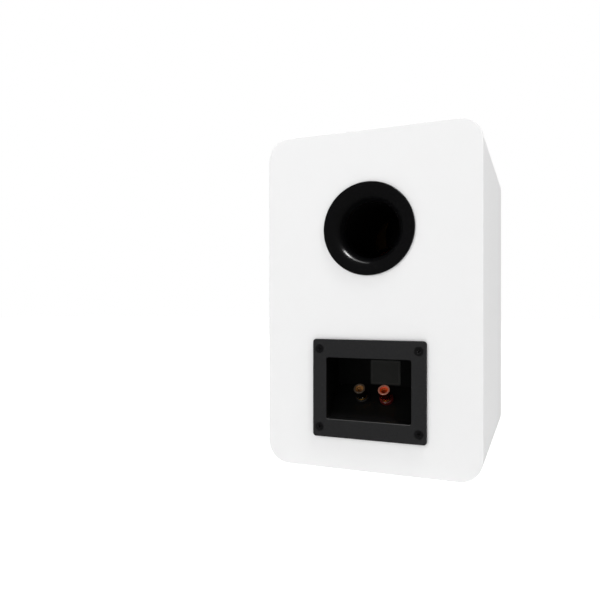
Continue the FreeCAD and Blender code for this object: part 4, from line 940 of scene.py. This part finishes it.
for post_sign, cap_finish, base_finish, post_slot in (
    ("positive", CLEAR_RED, RED_BASE, "clear_red"), ("negative", CLEAR_SMOKE, BLACK_BASE, "clear_smoke"),
):
    threaded_stud(post_sign)
    base_collar(post_sign, base_finish)
    clamp_washer(post_sign)
    cap_grip(post_sign, cap_finish)


# ------------------------------------------------------------------ pieces between cabinet and driver, standing in for their nodes
def driver_frame(middle_z):
    """A driver's frame: its local Z axis runs from the baffle's front face into the cabinet."""
    return Matrix.Translation((0, FRONT_Y * MM, middle_z * MM)) @ Matrix.Rotation(-math.pi / 2, 4, "X")


def bends(piece, node, share):
    """The piece stands for node, which it hides; share is worked out for each vertex, held to 0 to 1, and not
    used.
    """
    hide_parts(node)
    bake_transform(piece)
    for v in piece.data.vertices:
        t = min(1.0, max(0.0, share(v.co / MM)))


def by_radius(middle_z, still, width):
    """A share that is 0 out from the radius called still, and 1 from width further in."""
    return lambda p: (still - math.hypot(p.x, p.z - middle_z)) / width


def surround_roll():
    """The moulded rubber half-roll, with a flat land each side."""
    low, high = FLANGE_DEPTH - 0.05, FLANGE_DEPTH - 0.5
    inner, outer, middle = 43.5, 58.5, 51.0
    rise, under_half, over_half = 4.0, 4.0, 4.5
    outline = stretch((inner, low), (middle - under_half, low), 3)
    outline += arc((middle - under_half, low), (middle, low - rise), (middle + under_half, low), 28)
    outline += [(outer, low), (outer, high), (middle + over_half, high)]
    outline += arc((middle + over_half, high), (middle, high - rise), (middle - over_half, high), 32)
    outline += [(inner, high)]
    piece = lathe("woofer_surround_roll", outline, 192, BUTYL, driver_frame(WOOFER_Z))
    bends(piece, "woofer_surround",
          by_radius(WOOFER_Z, still=middle + over_half, width=2 * over_half))


def spider_disc():
    """The corrugated cotton disc that centres the coil."""
    inner, outer, depth, thick = 12.95, 43.0, 34.25, 0.5
    start, end, waves, rise, steps = 14.95, 39.0, 5, 1.3, 120
    wavy = []
    for i in range(steps + 1):
        radius = start + (end - start) * i / steps
        wavy.append((radius, depth - rise * math.sin(2 * math.pi * waves * i / steps)))
    front = [(inner, depth)] + wavy + [(outer, depth)]
    outline = front + [(radius, height + thick) for radius, height in reversed(front)]
    piece = lathe("woofer_spider_disc", outline, 144, SPIDER_CLOTH, driver_frame(WOOFER_Z))
    bends(piece, "woofer_spider",
          by_radius(WOOFER_Z, still=38.5, width=23.5))


def tweeter_roll():
    """The dome's own small half-roll, pressed from the same coated silk."""
    piece = copy_of("tweeter_surround", "tweeter_dome_roll", SILK)
    bends(piece, "tweeter_surround",
          by_radius(TWEETER_Z, still=15.9, width=2.9))


def tinsel_leads():
    """The two braided leads that cross from the terminal strip to the cone."""
    strip_x, cone_x = -52.0, -27.0
    piece = copy_of("woofer_tinsel_leads", "woofer_braided_leads", BRAID)
    bends(piece, "woofer_tinsel_leads",
          lambda p: (p.x - strip_x) / (cone_x - strip_x))


surround_roll()
spider_disc()
tweeter_roll()
tinsel_leads()


# ------------------------------------------------------------------ wadding
def felt_pads():
    """The polyester wadding stapled inside the panels: soft, uneven and a little frayed."""
    pads = copy_of("wadding_pads", "polyester_pads", WADDING)
    cells = pads.modifiers.new("cells", "REMESH")
    cells.mode = "VOXEL"
    cells.voxel_size = 2.5 * MM
    cells.use_smooth_shade = True
    kept_mesh(pads)
    run_tree(pads, FLUFF, {"Depth": 3.0 * MM, "Tuft": 1 / (11.0 * MM), "Finish": WADDING})
    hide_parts("wadding_pads")
    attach(pads, "cabinet")


felt_pads()


# ------------------------------------------------------------------ stage, light and camera
def area(name, place, aim, size, watts, glossy=True, along=(1, 0, 0)):
    """A softbox at place that faces aim: size is its length, which runs along, and its width, in metres."""
    lamp = bpy.data.lights.new(name, "AREA")
    lamp.shape = "RECTANGLE"
    lamp.size, lamp.size_y = size
    lamp.energy = watts
    made = bpy.data.objects.new(name, lamp)
    back = (Vector(place) - Vector(aim)).normalized()
    side = (Vector(along) - Vector(along).dot(back) * back).normalized()
    made.location = place
    made.rotation_mode = "QUATERNION"
    made.rotation_quaternion = Matrix((side, back.cross(side), back)).transposed().to_quaternion()
    made.visible_glossy = glossy
    made.visible_camera = False
    bpy.context.scene.collection.objects.link(made)
    return made


def by_ray(tree, kind, otherwise, then):
    """Gives then for this kind of ray and otherwise for the rest: each a number or another node's output."""
    path = add(tree, "ShaderNodeLightPath")
    return add(tree, "ShaderNodeMix", {
        "Factor": path.outputs[kind], 2: otherwise, 3: then,
    }, data_type="FLOAT").outputs[0]


def white_cove():
    """The room: white to look at, dim as a light, and all but dark in reflections."""
    world = bpy.data.worlds.new("white_cove")
    bpy.context.scene.world = world
    world.use_nodes = True
    tree = world.node_tree
    strength = by_ray(tree, "Is Glossy Ray", by_ray(tree, "Is Camera Ray", 0.30, 1.0), 0.05)
    tree.links.new(strength, tree.nodes["Background"].inputs["Strength"])
    tree.nodes["Background"].inputs["Color"].default_value = (1, 1, 1, 1)


def pale_floor():
    """A pale floor that glows a little, a fifth of a millimetre under the speaker."""
    half, gap = 6.0, 0.2 * MM
    mesh = bpy.data.meshes.new("floor")
    corners = [(-half, -half, 0), (half, -half, 0), (half, half, 0), (-half, half, 0)]
    mesh.from_pydata(corners, [], [(0, 1, 2, 3)])
    floor = bpy.data.objects.new("floor", mesh)
    floor.location = (0, 0, -gap)
    bpy.context.scene.collection.objects.link(floor)
    paint, tree, shader = finish_named("pale_floor", "#cccccc", 0.9, Specular_IOR_Level=0.0)
    shader.inputs["Emission Color"].default_value = (1, 1, 1, 1)
    tree.links.new(by_ray(tree, "Is Camera Ray", 0.50, 0.86), shader.inputs["Emission Strength"])
    mesh.materials.append(paint)
    floor.visible_glossy = False


def lamps():
    """Strips overhead, fills behind, beside and in front, and small lamps that only light the posts."""
    slant = (0.88, -0.226, 0)
    over = (0, 0.1, 0.17)
    middle = (0, 0, 0.13)
    area("strip_above", (-0.13, 0.213, 1.25), over, (0.91, 0.18), 3.0, along=slant)
    area("strip_bright_end", (-0.49, 0.305, 1.24), over, (0.34, 0.2), 4.6, along=slant)
    area("fill_behind_camera", (0.5, 1.3, 0.9), middle, (0.8, 0.8), 7.4, glossy=False)
    area("fill_side", (-1.1, 0.5, 0.45), middle, (0.3, 0.3), 0.3, glossy=False)
    area("fill_front", (0.5, -2.0, 0.9), middle, (1.0, 1.0), 9.5)

    posts = bpy.data.collections.new("lit_posts")
    washers = bpy.data.collections.new("lit_washers")
    for piece in bpy.context.scene.objects:
        if piece.name.endswith(("positive", "negative")) and not piece.name.startswith("wires"):
            posts.objects.link(piece)
        if "washer" in piece.name:
            washers.objects.link(piece)
    for name, place, size, watts, lit in (
        ("kicker_left", (0.27, 1.02, 0.33), (0.2, 0.2), 3.0, posts),
        ("kicker_right", (-0.30, 1.0, 0.37), (0.3, 0.3), 1.0, posts),
        ("washer_glint", (0.15, 1.05, 0.11), (0.6, 0.14), 60.0, washers),
    ):
        kicker = area(name, place, (0, 0.09, 0.06), size, watts)
        kicker.light_linking.receiver_collection = lit


def camera():
    """A level camera behind the speaker and towards its -X side, where a person bends to plug a cable in."""
    lens = bpy.data.cameras.new("camera")
    lens.lens = 33.511
    lens.sensor_width = 36.0
    lens.clip_start = 0.01
    made = bpy.data.objects.new("camera", lens)
    made.location = (-0.12345, 0.5341, 0.12859)
    made.rotation_mode = "QUATERNION"
    turn = math.radians(22.731)
    made.rotation_quaternion = Vector((math.sin(turn), -math.cos(turn), 0)).to_track_quat("-Z", "Y")
    bpy.context.scene.collection.objects.link(made)
    bpy.context.scene.camera = made


bpy.context.scene.view_settings.view_transform = "Standard"
white_cove()
pale_floor()
lamps()
camera()
